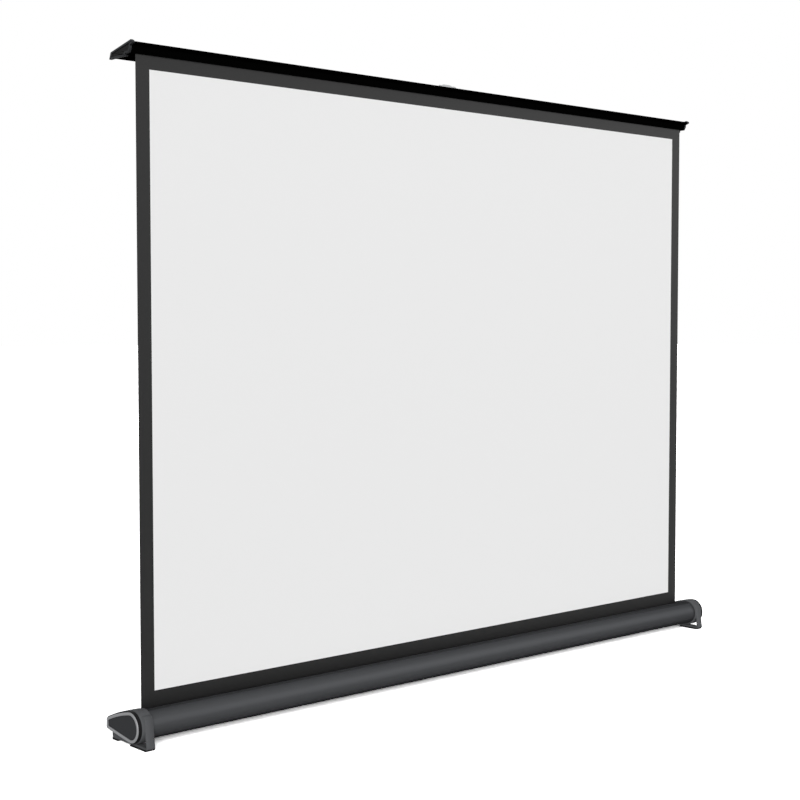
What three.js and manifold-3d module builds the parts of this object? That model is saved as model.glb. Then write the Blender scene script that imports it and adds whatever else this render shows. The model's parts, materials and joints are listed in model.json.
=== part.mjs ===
// A table-top pull-up projector screen. Millimetres, +X along the width, +Y to the rear, +Z up.
// The origin is on the table, midway along the housing, under the front face of the fabric.
import * as THREE from 'three';
import { mergeVertices } from 'three/addons/utils/BufferGeometryUtils.js';
import Module from 'manifold-3d';

const wasm = await Module();
wasm.setup();

// The picture and the fabric around it
const pictureWidth = 1016;
const pictureHeight = 762;
const sideBorder = 19.5;
const topBorder = 17;
const bottomBorder = 20;
const fabricThickness = 0.35;
const slotHeight = 41.5;

// Running and seating clearances
const seatGap = 0.3;
const runGap = 0.3;
const overrun = 20;

// Housing section: a large round nose, a small round tail and a falling crown between them
const noseY = -18.5;
const noseZ = 26.8;
const noseRadius = 17.8;
const tailY = 28;
const tailZ = 23.2;
const tailRadius = 7.5;
const crownFrontTilt = THREE.MathUtils.degToRad(11.3);
const crownRearTilt = THREE.MathUtils.degToRad(22.8);
const housingWall = 1.8;
const housingEndMargin = 24;
const partitionFrontY = 4.6;
const partitionThickness = 1.6;
const partitionTopZ = 38;
const slotFrontY = -1.4;
const channelRearY = 29.3;
const channelFloorZ = 19.3;
const channelFloorThickness = 1.5;
const portBore = 2.4;
const nosePortY = -29.8;
const nosePortZ = 19.2;
const nosePortBoss = 5.6;
const tailPortY = 31.8;
const tailPortZ = 23.2;
const tailPortBoss = 4.4;

// Rear fence of the storage channel, and the slot guide
const fenceInset = 51.5;
const fenceThickness = 1.5;
const fenceTopZ = 44.2;
const guideFrontY = 1.2;
const guideBottomZ = 35;
const guideTopZ = 39.5;
const guideRadius = 1.2;
const guideMargin = 3;

// End cap, its light frame and its inlay
const capThickness = 2;
const capProud = 1;
const ringThickness = 1.5;
const ringWidth = 3.7;
const inlayThickness = 0.7;
const screwHeadRadius = 2.2;
const screwHeadHeight = 1;
const screwShank = 2.1;
const screwLength = 9;

// Foot: a collar round the housing with a leg, a floor bar and two pads
const collarWidth = 17.8;
const collarWall = 2.4;
const legInset = 1;
const legWidth = 11.6;
const legThickness = 2;
const legTopRise = 15.7;
const legShoulderInset = 1.1;
const legShoulderRise = 9.7;
const toeReach = 4;
const heelInset = 1.4;
const heelShoulderDrop = 9.2;
const padThickness = 2.4;
const toePadLength = 36;
const heelPadLength = 13.3;
const toePadInset = 2;
const heelPadInset = 0.5;
const padOverhang = 0.7;
const legGapBottomRise = 2;
const legGapReach = 4.5;
const legGapRearRise = 2.6;
const legGapTopDrop = 6.8;

// Roller, its fabric roll and its bearings
const rollerZ = 26.6;
const rollRadius = 10.6;
const rollThickness = 0.8;
const tubeWall = 1.2;
const rollerMargin = 2;
const plugLength = 14;
const plugFlange = 1.2;
const plugFlangeRadius = 9.2;
const gudgeonRadius = 3;
const bracketPlate = 2.5;
const arborRadius = 2.4;
const springRadius = 7.2;
const springWall = 2.6;
const springLength = 220;
const anchorLength = 12;

// Top bar section: a steep front under a lip, a straight falling top, a rear flange, open below
const barMargin = 7.5;
const barFrontEdgeY = -2;
const barFaceY = -5;
const barFaceFootRise = 5;
const barFaceTopRise = 8.6;
const barNoseY = -11.4;
const barNoseRise = 10.6;
const barTopFrontY = -7.5;
const barTopRise = 12.9;
const barTopRearY = 35.5;
const barRearRise = 4.1;
const barRearFootY = 38.6;
const barRearDrop = 1.9;
const barLipWidth = 5;
const barWall = 1.5;
const bossRearY = 3;
const splineRadius = 1.6;
const splineRise = 5.1;
const slitWidth = 1.05;
const splineInset = 1;

// Top bar end cap
const barCapThickness = 3;
const barCapProud = 2;
const barCapRearProud = 3.5;
const barCapUndersideDrop = 3.2;
const barCapStepY = 7;
const tongueLength = 8;
const tongueFrontY = 14;
const tongueRearY = 28;
const tongueBottomDrop = 1;
const tongueRise = 3;

// Scissor arms, pins, shoes, brackets and tracks
const armEndRoom = 120;
const armWidth = 10;
const armThickness = 5;
const pinCollar = 1;
const topPivotRise = 0.1;
const pinRadius = 3;
const headRadius = 4.5;
const headHeight = 1.5;
const slimPinRadius = 2.4;
const cheekThickness = 2.6;
const baseCheekHalfLength = 18;
const topCheekHalfLength = 16;
const topFlangeDepth = 9;
const topFlangeThickness = 1.6;
const shoeHalfLength = 9;
const lowerShoeDepth = 4.2;
const lowerShoeHalfHeight = 4.5;
const upperShoeDepth = 3.9;
const upperShoeHalfHeight = 3.6;
const trackEndMargin = 14;
const trackWall = 1.4;
const trackLip = 2.4;

// Handle and release button on top of the bar
const deckY = 11;
const handleWidth = 20;
const handleDepth = 17;
const handleStartX = -16.6;
const handleEdgeHeight = 6;
const handleCrown = 4;
const handleLift = 2;
const fingerWidth = 12;
const fingerDepth = 8.6;
const fingerRearMargin = 3.4;
const hingeInset = 2.5;
const hingeHeight = 4.2;
const hingePinRadius = 1.2;
const earThickness = 2.6;
const earHalfDepth = 3;
const buttonX = 13.2;
const buttonRadius = 4.9;
const buttonCollarRadius = 6.3;
const buttonCollarHeight = 4.6;
const buttonHeight = 10;
const buttonDomeHeight = 3;
const buttonTravel = 2.2;
const stemRadius = 3.4;
const stemFlangeRadius = 4.6;
const stemFlangeHeight = 1.2;

// Segments round a curve
const fineSteps = 12;
const boreSteps = 8;
const domeSteps = 5;
const pinSides = 16;
const tubeSides = 32;

// Widths that follow from the picture's
const fabricHalfWidth = pictureWidth / 2 + sideBorder;
const rollerHalfLength = fabricHalfWidth + rollerMargin;
const guideHalfLength = fabricHalfWidth + guideMargin;
const splineHalfLength = fabricHalfWidth - splineInset;
const barHalfLength = fabricHalfWidth + barMargin;
const housingHalfLength = fabricHalfWidth + housingEndMargin;
const fenceHalfLength = housingHalfLength - fenceInset;
const armLength = 2 * (fenceHalfLength - armEndRoom);
const basePivotX = -armLength / 2;

// Heights that follow from the sizes above
const pictureBottom = slotHeight + bottomBorder;
const pictureTop = pictureBottom + pictureHeight;
const barEdgeZ = pictureTop + topBorder;
const basePivotZ = channelFloorZ + runGap + armWidth / 2;
const topPivotZ = barEdgeZ + topPivotRise;
const stageRise = (topPivotZ - basePivotZ) / 2;
const openAngle = Math.asin(stageRise / armLength);
const openSpan = armLength * Math.cos(openAngle);

// Depths of the arm layers, front to rear
const partitionRearY = partitionFrontY + partitionThickness;
const baseCheekY = partitionRearY + seatGap;
const frontArmY = baseCheekY + cheekThickness + runGap;
const frontArmRearY = frontArmY + armThickness;
const rearArmY = frontArmRearY + runGap + pinCollar + runGap;
const rearArmRearY = rearArmY + armThickness;
const fenceFrontY = channelRearY - seatGap - fenceThickness;

// A box that clears the housing's section on all sides, for cutting tools
const clearFrontY = noseY - noseRadius - overrun;
const clearRearY = tailY + tailRadius + overrun;
const clearTopZ = fenceTopZ + overrun;

const black = { color: '#0b0b0c', roughness: 0.45, metalness: 0.1 };
const charcoal = { color: '#46474a', roughness: 0.5, metalness: 0.4 };
const darkPlastic = { color: '#3a3b3d', roughness: 0.6, metalness: 0 };
const lightPlastic = { color: '#b9babb', roughness: 0.5, metalness: 0 };
const frameGrey = { color: '#7f8082', roughness: 0.4, metalness: 0.2 };
const rubberBlack = { color: '#141414', roughness: 0.9, metalness: 0 };
const aluminium = { color: '#a9abae', roughness: 0.4, metalness: 0.9 };
const steel = { color: '#8c8f93', roughness: 0.35, metalness: 0.9 };
const whiteFabric = { color: '#e9e9e9', roughness: 0.9, metalness: 0 };
const blackFabric = { color: '#333336', roughness: 0.9, metalness: 0 };
const slipPlastic = { color: '#d8d6cf', roughness: 0.5, metalness: 0 };

const screen = new THREE.Group();

function add(name, geometry, look, parent = screen) {
  const mesh = new THREE.Mesh(geometry, new THREE.MeshStandardMaterial(look));
  mesh.name = name;
  parent.add(mesh);
  return mesh;
}

// Join and cut closed geometries

function toSolid(geometry) {
  const bare = geometry.clone();
  bare.deleteAttribute('normal');
  bare.deleteAttribute('uv');
  const merged = mergeVertices(bare);
  const vertProperties = new Float32Array(merged.attributes.position.array);
  const triVerts = new Uint32Array(merged.index.array);
  return new wasm.Manifold(new wasm.Mesh({ numProp: 3, vertProperties, triVerts }));
}

function toGeometry(solid) {
  const mesh = solid.getMesh();
  const geometry = new THREE.BufferGeometry();
  geometry.setAttribute('position', new THREE.BufferAttribute(mesh.vertProperties, 3));
  geometry.setIndex(new THREE.BufferAttribute(mesh.triVerts, 1));
  geometry.computeVertexNormals();
  return geometry;
}

const cut = (base, ...tools) => tools.reduce((left, tool) => left.subtract(toSolid(tool)), base);
const join = (base, ...others) => others.reduce((left, other) => left.add(toSolid(other)), base);
const common = (a, b) => toSolid(a).intersect(toSolid(b));

// Shapes drawn in one plane and pushed along the third axis

// A shape drawn in Y and Z, from one X to another
function alongX(shape, fromX, toX, curveSegments = fineSteps) {
  const options = { depth: toX - fromX, bevelEnabled: false, curveSegments };
  const geometry = new THREE.ExtrudeGeometry(shape, options);
  const turn = new THREE.Matrix4().makeBasis(
    new THREE.Vector3(0, 1, 0),
    new THREE.Vector3(0, 0, 1),
    new THREE.Vector3(1, 0, 0),
  );
  return geometry.applyMatrix4(turn).translate(fromX, 0, 0);
}

// A shape drawn in X and Z, from one Y to another
function alongY(shape, fromY, toY, curveSegments = fineSteps) {
  const options = { depth: toY - fromY, bevelEnabled: false, curveSegments };
  return new THREE.ExtrudeGeometry(shape, options).rotateX(Math.PI / 2).translate(0, toY, 0);
}

function box(fromX, toX, fromY, toY, fromZ, toZ) {
  const geometry = new THREE.BoxGeometry(toX - fromX, toY - fromY, toZ - fromZ);
  return geometry.translate((fromX + toX) / 2, (fromY + toY) / 2, (fromZ + toZ) / 2);
}

function polygon(points) {
  return new THREE.Shape(points.map(([u, v]) => new THREE.Vector2(u, v)));
}

function circle(u, v, radius) {
  const shape = new THREE.Shape();
  for (let side = 0; side < 2 * boreSteps; side += 1) {
    const angle = (Math.PI * side) / boreSteps;
    const corner = [u + radius * Math.cos(angle), v + radius * Math.sin(angle)];
    if (side === 0) shape.moveTo(...corner);
    else shape.lineTo(...corner);
  }
  return shape;
}

// A turned pin along Y, given as [start, end, radius] lengths that follow each other
function turned(lengths, sides = pinSides) {
  const points = [new THREE.Vector2(0, lengths[0][0])];
  for (const [start, end, radius] of lengths) {
    points.push(new THREE.Vector2(radius, start), new THREE.Vector2(radius, end));
  }
  points.push(new THREE.Vector2(0, lengths[lengths.length - 1][1]));
  return new THREE.LatheGeometry(points, sides);
}

// A hollow turned ring along Y
function sleeve(start, end, outer, inner, sides = tubeSides) {
  const corners = [[inner, start], [outer, start], [outer, end], [inner, end], [inner, start]];
  const points = corners.map(([radius, place]) => new THREE.Vector2(radius, place));
  return new THREE.LatheGeometry(points, sides);
}

const layAlongX = (geometry) => geometry.rotateZ(-Math.PI / 2);

// The housing's outline, grown outwards by a given amount
function teardrop(grow) {
  const nose = noseRadius + grow;
  const tail = tailRadius + grow;
  const reach = Math.hypot(tailY - noseY, tailZ - noseZ);
  const slope = Math.atan2(tailZ - noseZ, tailY - noseY);
  const floorTilt = slope + Math.asin((noseRadius - tailRadius) / reach);
  const frontAngle = Math.PI / 2 - crownFrontTilt;
  const rearAngle = Math.PI / 2 - crownRearTilt;
  const front = [noseY + nose * Math.cos(frontAngle), noseZ + nose * Math.sin(frontAngle)];
  const rear = [tailY + tail * Math.cos(rearAngle), tailZ + tail * Math.sin(rearAngle)];
  const frontFall = Math.tan(crownFrontTilt);
  const rearFall = Math.tan(crownRearTilt);
  const crownY = (rear[1] - front[1] + rearFall * rear[0] - frontFall * front[0]) / (rearFall - frontFall);
  const crownZ = front[1] - frontFall * (crownY - front[0]);
  const shape = new THREE.Shape();
  shape.absarc(noseY, noseZ, nose, frontAngle, floorTilt + Math.PI * 1.5, false);
  shape.absarc(tailY, tailZ, tail, floorTilt - Math.PI / 2, rearAngle, false);
  shape.quadraticCurveTo(crownY, crownZ, front[0], front[1]);
  return shape;
}

const bothSides = [
  ['left', -1],
  ['right', 1],
];

// Mirrors a piece drawn at the right-hand end to the side asked for
function atSide(side, solid) {
  return toGeometry(side < 0 ? solid.mirror([1, 0, 0]) : solid);
}

// Housing: the extruded base with its roller chamber, storage channel and screw ports

function housingExtrusion() {
  const length = housingHalfLength + overrun;
  const inner = () => alongX(teardrop(-housingWall), -length, length);
  const chamber = box(-length, length, clearFrontY, partitionFrontY, 0, clearTopZ);
  const channel = box(-length, length, partitionRearY, channelRearY, channelFloorZ, clearTopZ);
  const tail = box(-length, length, partitionRearY, clearRearY, channelFloorZ, clearTopZ);
  const underFloorTop = channelFloorZ - channelFloorThickness;
  const underFloor = box(-length, length, partitionRearY, clearRearY, 0, underFloorTop);
  const slot = box(-length, length, slotFrontY, partitionFrontY, rollerZ, clearTopZ);
  const aboveWall = box(-length, length, slotFrontY, channelRearY, partitionTopZ, clearTopZ);
  const shell = toSolid(alongX(teardrop(0), -housingHalfLength, housingHalfLength));
  const rooms = [chamber, tail, underFloor].map((room) => toGeometry(common(inner(), room)));
  const hollow = cut(shell, ...rooms, channel, slot, aboveWall);
  const bosses = [
    alongX(circle(nosePortY, nosePortZ, nosePortBoss / 2), -housingHalfLength, housingHalfLength),
    alongX(circle(tailPortY, tailPortZ, tailPortBoss / 2), -housingHalfLength, housingHalfLength),
  ];
  const bores = [
    alongX(circle(nosePortY, nosePortZ, portBore / 2), -length, length),
    alongX(circle(tailPortY, tailPortZ, portBore / 2), -length, length),
  ];
  add('housing_extrusion', toGeometry(cut(join(hollow, ...bosses), ...bores)), charcoal);
}

function rearFence() {
  const bottom = channelFloorZ + seatGap;
  const fenceRearY = fenceFrontY + fenceThickness;
  const strip = box(-fenceHalfLength, fenceHalfLength, fenceFrontY, fenceRearY, bottom, fenceTopZ);
  add('rear_fence', strip, charcoal);
}

function slotGuide() {
  const rear = partitionFrontY - seatGap;
  const shape = new THREE.Shape();
  shape.moveTo(rear, guideBottomZ);
  shape.lineTo(rear, guideTopZ);
  shape.lineTo(guideFrontY + guideRadius, guideTopZ);
  const bendY = guideFrontY + guideRadius;
  shape.absarc(bendY, guideTopZ - guideRadius, guideRadius, Math.PI / 2, Math.PI, false);
  shape.lineTo(guideFrontY, guideBottomZ);
  add('slot_guide', alongX(shape, -guideHalfLength, guideHalfLength), slipPlastic);
}

// End caps: a black plate, a light frame, a dark inlay and two hidden screws on each side

const capInnerX = housingHalfLength + seatGap;
const capOuterX = capInnerX + capThickness;
const ports = [
  ['nose', nosePortY, nosePortZ],
  ['tail', tailPortY, tailPortZ],
];

function endCap(name, side) {
  const plate = toSolid(alongX(teardrop(capProud), capInnerX, capOuterX));
  const sinkX = capOuterX - screwHeadHeight - seatGap / 2;
  const sinkRadius = screwHeadRadius + seatGap;
  const shankRadius = screwShank / 2 + seatGap;
  const holes = ports.flatMap(([, y, z]) => [
    alongX(circle(y, z, shankRadius), capInnerX - overrun, capOuterX + overrun),
    alongX(circle(y, z, sinkRadius), sinkX, capOuterX + overrun),
  ]);
  add(`end_cap_${name}`, atSide(side, cut(plate, ...holes)), black);
}

function endRing(name, side) {
  const outer = toSolid(alongX(teardrop(capProud), capOuterX, capOuterX + ringThickness));
  const hole = alongX(teardrop(capProud - ringWidth), capOuterX - overrun, capOuterX + overrun);
  add(`end_ring_${name}`, atSide(side, cut(outer, hole)), frameGrey);
}

function endInlay(name, side) {
  const grow = capProud - ringWidth - seatGap;
  const fromX = capOuterX + seatGap;
  const plate = toSolid(alongX(teardrop(grow), fromX, fromX + inlayThickness));
  add(`end_inlay_${name}`, atSide(side, plate), darkPlastic);
}

function capScrews(name, side) {
  for (const [place, y, z] of ports) {
    const screw = turned([
      [capOuterX - screwHeadHeight - screwLength, capOuterX - screwHeadHeight, screwShank / 2],
      [capOuterX - screwHeadHeight, capOuterX, screwHeadRadius],
    ]);
    const solid = toSolid(layAlongX(screw).translate(0, y, z));
    add(`cap_screw_${place}_${name}`, atSide(side, solid), steel);
  }
}

// Feet: a collar closed round the housing, a leg down its front, a floor bar and two rubber pads

const collarInnerX = housingHalfLength - collarWidth;
const legInnerX = collarInnerX + legInset;
const legOuterX = legInnerX + legWidth;
const collarNoseRadius = noseRadius + seatGap + collarWall;
const collarRearY = tailY + tailRadius + seatGap + collarWall;
const legTopZ = noseZ + legTopRise;
const legShoulderY = noseY - collarNoseRadius + legShoulderInset;
const legShoulderZ = noseZ + legShoulderRise;
const toeY = noseY - collarNoseRadius - toeReach;
const heelY = collarRearY - heelInset;

function legOutline() {
  const shoulder = Math.asin(Math.min(1, legTopRise / collarNoseRadius));
  const shape = new THREE.Shape();
  shape.moveTo(noseY - collarNoseRadius * Math.cos(shoulder), legTopZ);
  shape.quadraticCurveTo(legShoulderY + legThickness / 2, legTopZ, legShoulderY, legShoulderZ);
  shape.lineTo(toeY, padThickness + legThickness / 2);
  shape.quadraticCurveTo(toeY, padThickness, toeY + legThickness / 2, padThickness);
  shape.lineTo(heelY, padThickness);
  shape.lineTo(heelY, tailZ - heelShoulderDrop);
  shape.lineTo(tailY, tailZ);
  shape.lineTo(noseY, noseZ);
  return shape;
}

function foot(name, side) {
  const fall = (legShoulderY - toeY) / (legShoulderZ - padThickness);
  const legRear = (z) => toeY + legThickness + fall * (z - padThickness);
  const gapBottom = padThickness + legGapBottomRise;
  const gap = polygon([
    [legRear(gapBottom), gapBottom],
    [noseY + legGapReach, padThickness + legGapRearRise],
    [noseY, noseZ],
    [legRear(noseZ - legGapTopDrop), noseZ - legGapTopDrop],
  ]);
  const leg = toSolid(alongX(legOutline(), legInnerX, legOuterX));
  const open = cut(leg, alongX(gap, legInnerX - overrun, legOuterX + overrun));
  const collar = alongX(teardrop(seatGap + collarWall), collarInnerX, housingHalfLength);
  const bore = alongX(teardrop(seatGap), collarInnerX - overrun, housingHalfLength + overrun);
  add(`foot_${name}`, atSide(side, cut(join(open, collar), bore)), charcoal);
}

function footPads(name, side) {
  const toeStart = toeY + toePadInset;
  const heelEnd = heelY - heelPadInset;
  const places = [
    ['toe', toeStart, toeStart + toePadLength],
    ['heel', heelEnd - heelPadLength, heelEnd],
  ];
  for (const [place, fromY, toY] of places) {
    const pad = box(legInnerX - padOverhang, legOuterX + padOverhang, fromY, toY, 0, padThickness);
    add(`${place}_pad_${name}`, atSide(side, toSolid(pad)), rubberBlack);
  }
}

// Roller: a tube with the spare turns of fabric, plugs, a spring and its fixed arbor

const rollerY = -seatGap - rollRadius;
const tubeRadius = rollRadius - rollThickness - seatGap;
const tubeInner = tubeRadius - tubeWall;
const bracketInnerX = rollerHalfLength + plugFlange + 2 * seatGap;
const bracketOuterX = bracketInnerX + bracketPlate;

function onRoller(geometry) {
  return layAlongX(geometry).translate(0, rollerY, rollerZ);
}

function roller() {
  const tube = sleeve(-rollerHalfLength, rollerHalfLength, tubeRadius, tubeInner);
  add('roller_tube', onRoller(tube), aluminium);
  const roll = sleeve(-fabricHalfWidth, fabricHalfWidth, rollRadius, rollRadius - rollThickness);
  add('fabric_roll', onRoller(roll), blackFabric);
  const idlePlug = turned([
    [-bracketOuterX - seatGap, -rollerHalfLength - seatGap - plugFlange, gudgeonRadius],
    [-rollerHalfLength - seatGap - plugFlange, -rollerHalfLength - seatGap, plugFlangeRadius],
    [-rollerHalfLength - seatGap, -rollerHalfLength + plugLength, tubeInner - seatGap],
  ]);
  add('roller_plug_left', onRoller(idlePlug), darkPlastic);
  const flangeX = rollerHalfLength + seatGap;
  const bore = arborRadius + runGap;
  const profile = [
    [bore, rollerHalfLength - plugLength],
    [tubeInner - seatGap, rollerHalfLength - plugLength],
    [tubeInner - seatGap, flangeX],
    [plugFlangeRadius, flangeX],
    [plugFlangeRadius, flangeX + plugFlange],
    [bore, flangeX + plugFlange],
    [bore, rollerHalfLength - plugLength],
  ].map(([radius, place]) => new THREE.Vector2(radius, place));
  add('roller_plug_right', onRoller(new THREE.LatheGeometry(profile, pinSides)), darkPlastic);
}

function rollerSpring() {
  const springEnd = rollerHalfLength - plugLength - seatGap;
  const arborEnd = bracketOuterX + seatGap;
  const anchorStart = springEnd - springLength - seatGap - anchorLength;
  const arbor = turned([
    [anchorStart, anchorStart + anchorLength, springRadius],
    [anchorStart + anchorLength, arborEnd, arborRadius],
  ]);
  add('spring_arbor', onRoller(arbor), steel);
  const spring = sleeve(springEnd - springLength, springEnd, springRadius, springRadius - springWall);
  add('roller_spring', onRoller(spring), steel);
}

function rollerBracket(name, side, boreRadius) {
  const inset = housingWall + seatGap;
  const chamber = alongX(teardrop(-inset), bracketInnerX, bracketOuterX);
  const limit = partitionFrontY - seatGap;
  const room = box(0, bracketOuterX + overrun, clearFrontY, limit, 0, partitionTopZ - seatGap);
  const plate = common(chamber, room);
  const bossRadius = nosePortBoss / 2 + seatGap;
  const fromX = bracketInnerX - overrun;
  const toX = bracketOuterX + overrun;
  const boss = alongX(circle(nosePortY, nosePortZ, bossRadius), fromX, toX);
  const bore = alongX(circle(rollerY, rollerZ, boreRadius), fromX, toX);
  add(`roller_bracket_${name}`, atSide(side, cut(plate, boss, bore)), steel);
}

// Fabric: the white picture field with four black borders, one sheet when it hangs

const splineZ = barEdgeZ + splineRise;

function fabric() {
  const half = pictureWidth / 2;
  const top = splineZ - splineRadius - seatGap;
  const piece = (fromX, toX, fromZ, toZ) => box(fromX, toX, 0, fabricThickness, fromZ, toZ);
  add('viewing_surface', piece(-half, half, pictureBottom, pictureTop), whiteFabric);
  add('border_left', piece(-fabricHalfWidth, -half, pictureBottom, pictureTop), blackFabric);
  add('border_right', piece(half, fabricHalfWidth, pictureBottom, pictureTop), blackFabric);
  add('border_bottom', piece(-fabricHalfWidth, fabricHalfWidth, rollerZ, pictureBottom), blackFabric);
  add('border_top', piece(-fabricHalfWidth, fabricHalfWidth, pictureTop, top), blackFabric);
}

// Top bar: an open-bottomed section that closes over the folded arms

const barTopZ = barEdgeZ + barTopRise;
const barTopRearZ = barEdgeZ + barRearRise;
const barFall = (barTopZ - barTopRearZ) / (barTopRearY - barTopFrontY);
const barTilt = Math.atan(barFall);
const barTopAt = (y) => barTopZ - barFall * (y - barTopFrontY);
const barSkinZ = (y) => barTopAt(y) - barWall / Math.cos(barTilt);
const fabricMidY = fabricThickness / 2;

function barOutline() {
  const slitHalf = slitWidth / 2;
  const splineBore = splineRadius + seatGap;
  const slitAngle = Math.asin(slitHalf / splineBore);
  const footZ = barEdgeZ - barRearDrop;
  const shape = new THREE.Shape();
  shape.moveTo(barFrontEdgeY, barEdgeZ);
  shape.lineTo(fabricMidY - slitHalf, barEdgeZ);
  const arcStart = Math.PI * 1.5 - slitAngle;
  shape.absarc(fabricMidY, splineZ, splineBore, arcStart, slitAngle - Math.PI / 2, true);
  shape.lineTo(fabricMidY + slitHalf, barEdgeZ);
  shape.lineTo(bossRearY, barEdgeZ);
  shape.lineTo(bossRearY, barSkinZ(bossRearY));
  shape.lineTo(barTopRearY - barWall, barSkinZ(barTopRearY - barWall));
  shape.lineTo(barRearFootY - 2 * barWall, footZ + barWall);
  shape.lineTo(barRearFootY - barLipWidth, footZ + barWall);
  shape.lineTo(barRearFootY - barLipWidth, footZ);
  shape.lineTo(barRearFootY, footZ);
  shape.lineTo(barTopRearY, barTopRearZ);
  shape.lineTo(barTopFrontY, barTopZ);
  shape.quadraticCurveTo(barNoseY, barTopZ + barFall, barNoseY, barEdgeZ + barNoseRise);
  shape.lineTo(barFaceY, barEdgeZ + barFaceTopRise);
  shape.lineTo(barFaceY, barEdgeZ + barFaceFootRise);
  return shape;
}

function topBar() {
  const bar = toSolid(alongX(barOutline(), -barHalfLength, barHalfLength));
  const well = new THREE.CylinderGeometry(stemRadius + runGap, stemRadius + runGap, overrun, pinSides);
  const place = onDeck(well.rotateX(Math.PI / 2).translate(buttonX, 0, 0));
  add('top_bar', toGeometry(cut(bar, place)), black);
}

function barCap(name, side) {
  const fromX = barHalfLength + seatGap;
  const toX = fromX + barCapThickness;
  const proud = barCapProud;
  const shape = polygon([
    [barFrontEdgeY, barEdgeZ],
    [barCapStepY, barEdgeZ],
    [barCapStepY, barEdgeZ - barCapUndersideDrop],
    [barRearFootY + barCapRearProud, barEdgeZ - barCapUndersideDrop],
    [barRearFootY + barCapRearProud, barEdgeZ - barRearDrop],
    [barTopRearY + barCapRearProud, barTopAt(barTopRearY + barCapRearProud) + proud],
    [barTopFrontY, barTopZ + proud],
    [barNoseY, barTopZ],
    [barNoseY, barEdgeZ + barNoseRise],
    [barFaceY, barEdgeZ + barFaceTopRise],
    [barFaceY, barEdgeZ + barFaceFootRise],
  ]);
  const plate = toSolid(alongX(shape, fromX, toX));
  const bottom = barEdgeZ - tongueBottomDrop;
  const top = barEdgeZ + tongueRise;
  const rootX = fromX + barCapThickness / 2;
  const tongue = box(fromX - tongueLength, rootX, tongueFrontY, tongueRearY, bottom, top);
  add(`top_bar_cap_${name}`, atSide(side, join(plate, tongue)), darkPlastic);
}

function topSpline() {
  const rod = turned([[-splineHalfLength, splineHalfLength, splineRadius]]);
  add('top_spline', layAlongX(rod).translate(0, fabricMidY, splineZ), slipPlastic);
}

// Scissor arms: two crossed pairs, one above the other, in two layers

function arm(name, y, x, z, turn) {
  const radius = armWidth / 2;
  const shape = new THREE.Shape();
  shape.absarc(0, 0, radius, Math.PI / 2, Math.PI * 1.5, false);
  shape.absarc(armLength, 0, radius, -Math.PI / 2, Math.PI / 2, false);
  for (const place of [0, armLength / 2, armLength]) {
    shape.holes.push(circle(place, 0, boreFor(name, place)));
  }
  const group = new THREE.Group();
  group.position.set(x, 0, z);
  group.rotation.y = turn;
  screen.add(group);
  add(name, alongY(shape, y, y + armThickness), steel, group);
}

// The end bore that takes a slim pin is smaller than the others
function boreFor(name, place) {
  const slimAt = { arm_a_lower: 0, arm_b_lower: armLength, arm_b_upper: 0, arm_a_upper: armLength };
  return runGap + (slimAt[name] === place ? slimPinRadius : pinRadius);
}

const rightX = basePivotX + openSpan;
const middleX = basePivotX + openSpan / 2;
const kneeZ = basePivotZ + stageRise;

function arms() {
  arm('arm_a_lower', frontArmY, basePivotX, basePivotZ, -openAngle);
  arm('arm_b_lower', rearArmY, basePivotX, kneeZ, openAngle);
  arm('arm_a_upper', frontArmY, basePivotX, kneeZ, -openAngle);
  arm('arm_b_upper', rearArmY, basePivotX, topPivotZ, openAngle);
}

// A headed pin through both layers with a spacing collar between them
function crossPin(name, x, z) {
  const pin = turned([
    [frontArmY - runGap - headHeight, frontArmY - runGap, headRadius],
    [frontArmY - runGap, frontArmRearY + runGap, pinRadius],
    [frontArmRearY + runGap, rearArmY - runGap, headRadius],
    [rearArmY - runGap, rearArmRearY + runGap, pinRadius],
    [rearArmRearY + runGap, rearArmRearY + runGap + headHeight, headRadius],
  ]);
  add(name, pin.translate(x, 0, z), steel);
}

// A headed pin that carries one arm's end on a bracket or shoe in front of it or behind it
function endPin(name, x, z, headY, tipY) {
  const toRear = Math.sign(tipY - headY);
  const neckY = headY + toRear * headHeight;
  const head = [Math.min(headY, neckY), Math.max(headY, neckY), headRadius - runGap];
  const shank = [Math.min(neckY, tipY), Math.max(neckY, tipY), slimPinRadius];
  add(name, turned(toRear > 0 ? [head, shank] : [shank, head]).translate(x, 0, z), steel);
}

const lowerShoeY = rearArmRearY + runGap;
const upperShoeRearY = frontArmY - runGap;
const frontHeadY = frontArmRearY + runGap + headHeight;
const rearHeadY = rearArmY - runGap - headHeight;

function pins() {
  crossPin('cross_pin_lower', middleX, basePivotZ + stageRise / 2);
  crossPin('cross_pin_upper', middleX, kneeZ + stageRise / 2);
  crossPin('knee_pin_left', basePivotX, kneeZ);
  crossPin('knee_pin_right', rightX, kneeZ);
  endPin('base_pivot_pin', basePivotX, basePivotZ, frontHeadY, baseCheekY);
  endPin('base_slide_pin', rightX, basePivotZ, rearHeadY, lowerShoeY + lowerShoeDepth);
  endPin('top_pivot_pin', basePivotX, topPivotZ, rearHeadY, rearArmRearY + runGap + cheekThickness);
  endPin('top_slide_pin', rightX, topPivotZ, frontHeadY, upperShoeRearY - upperShoeDepth);
}

// A sliding shoe with a bore for its pin
function shoe(name, z, fromY, toY, halfHeight) {
  const fromX = rightX - shoeHalfLength;
  const toX = rightX + shoeHalfLength;
  const block = toSolid(box(fromX, toX, fromY, toY, z - halfHeight, z + halfHeight));
  const bore = alongY(circle(rightX, z, slimPinRadius + seatGap), fromY - overrun, toY + overrun);
  add(name, toGeometry(cut(block, bore)), slipPlastic);
}

function shoes() {
  shoe('base_shoe', basePivotZ, lowerShoeY, lowerShoeY + lowerShoeDepth, lowerShoeHalfHeight);
  shoe('top_shoe', topPivotZ, upperShoeRearY - upperShoeDepth, upperShoeRearY, upperShoeHalfHeight);
}

// Brackets for the two fixed pivots

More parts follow.
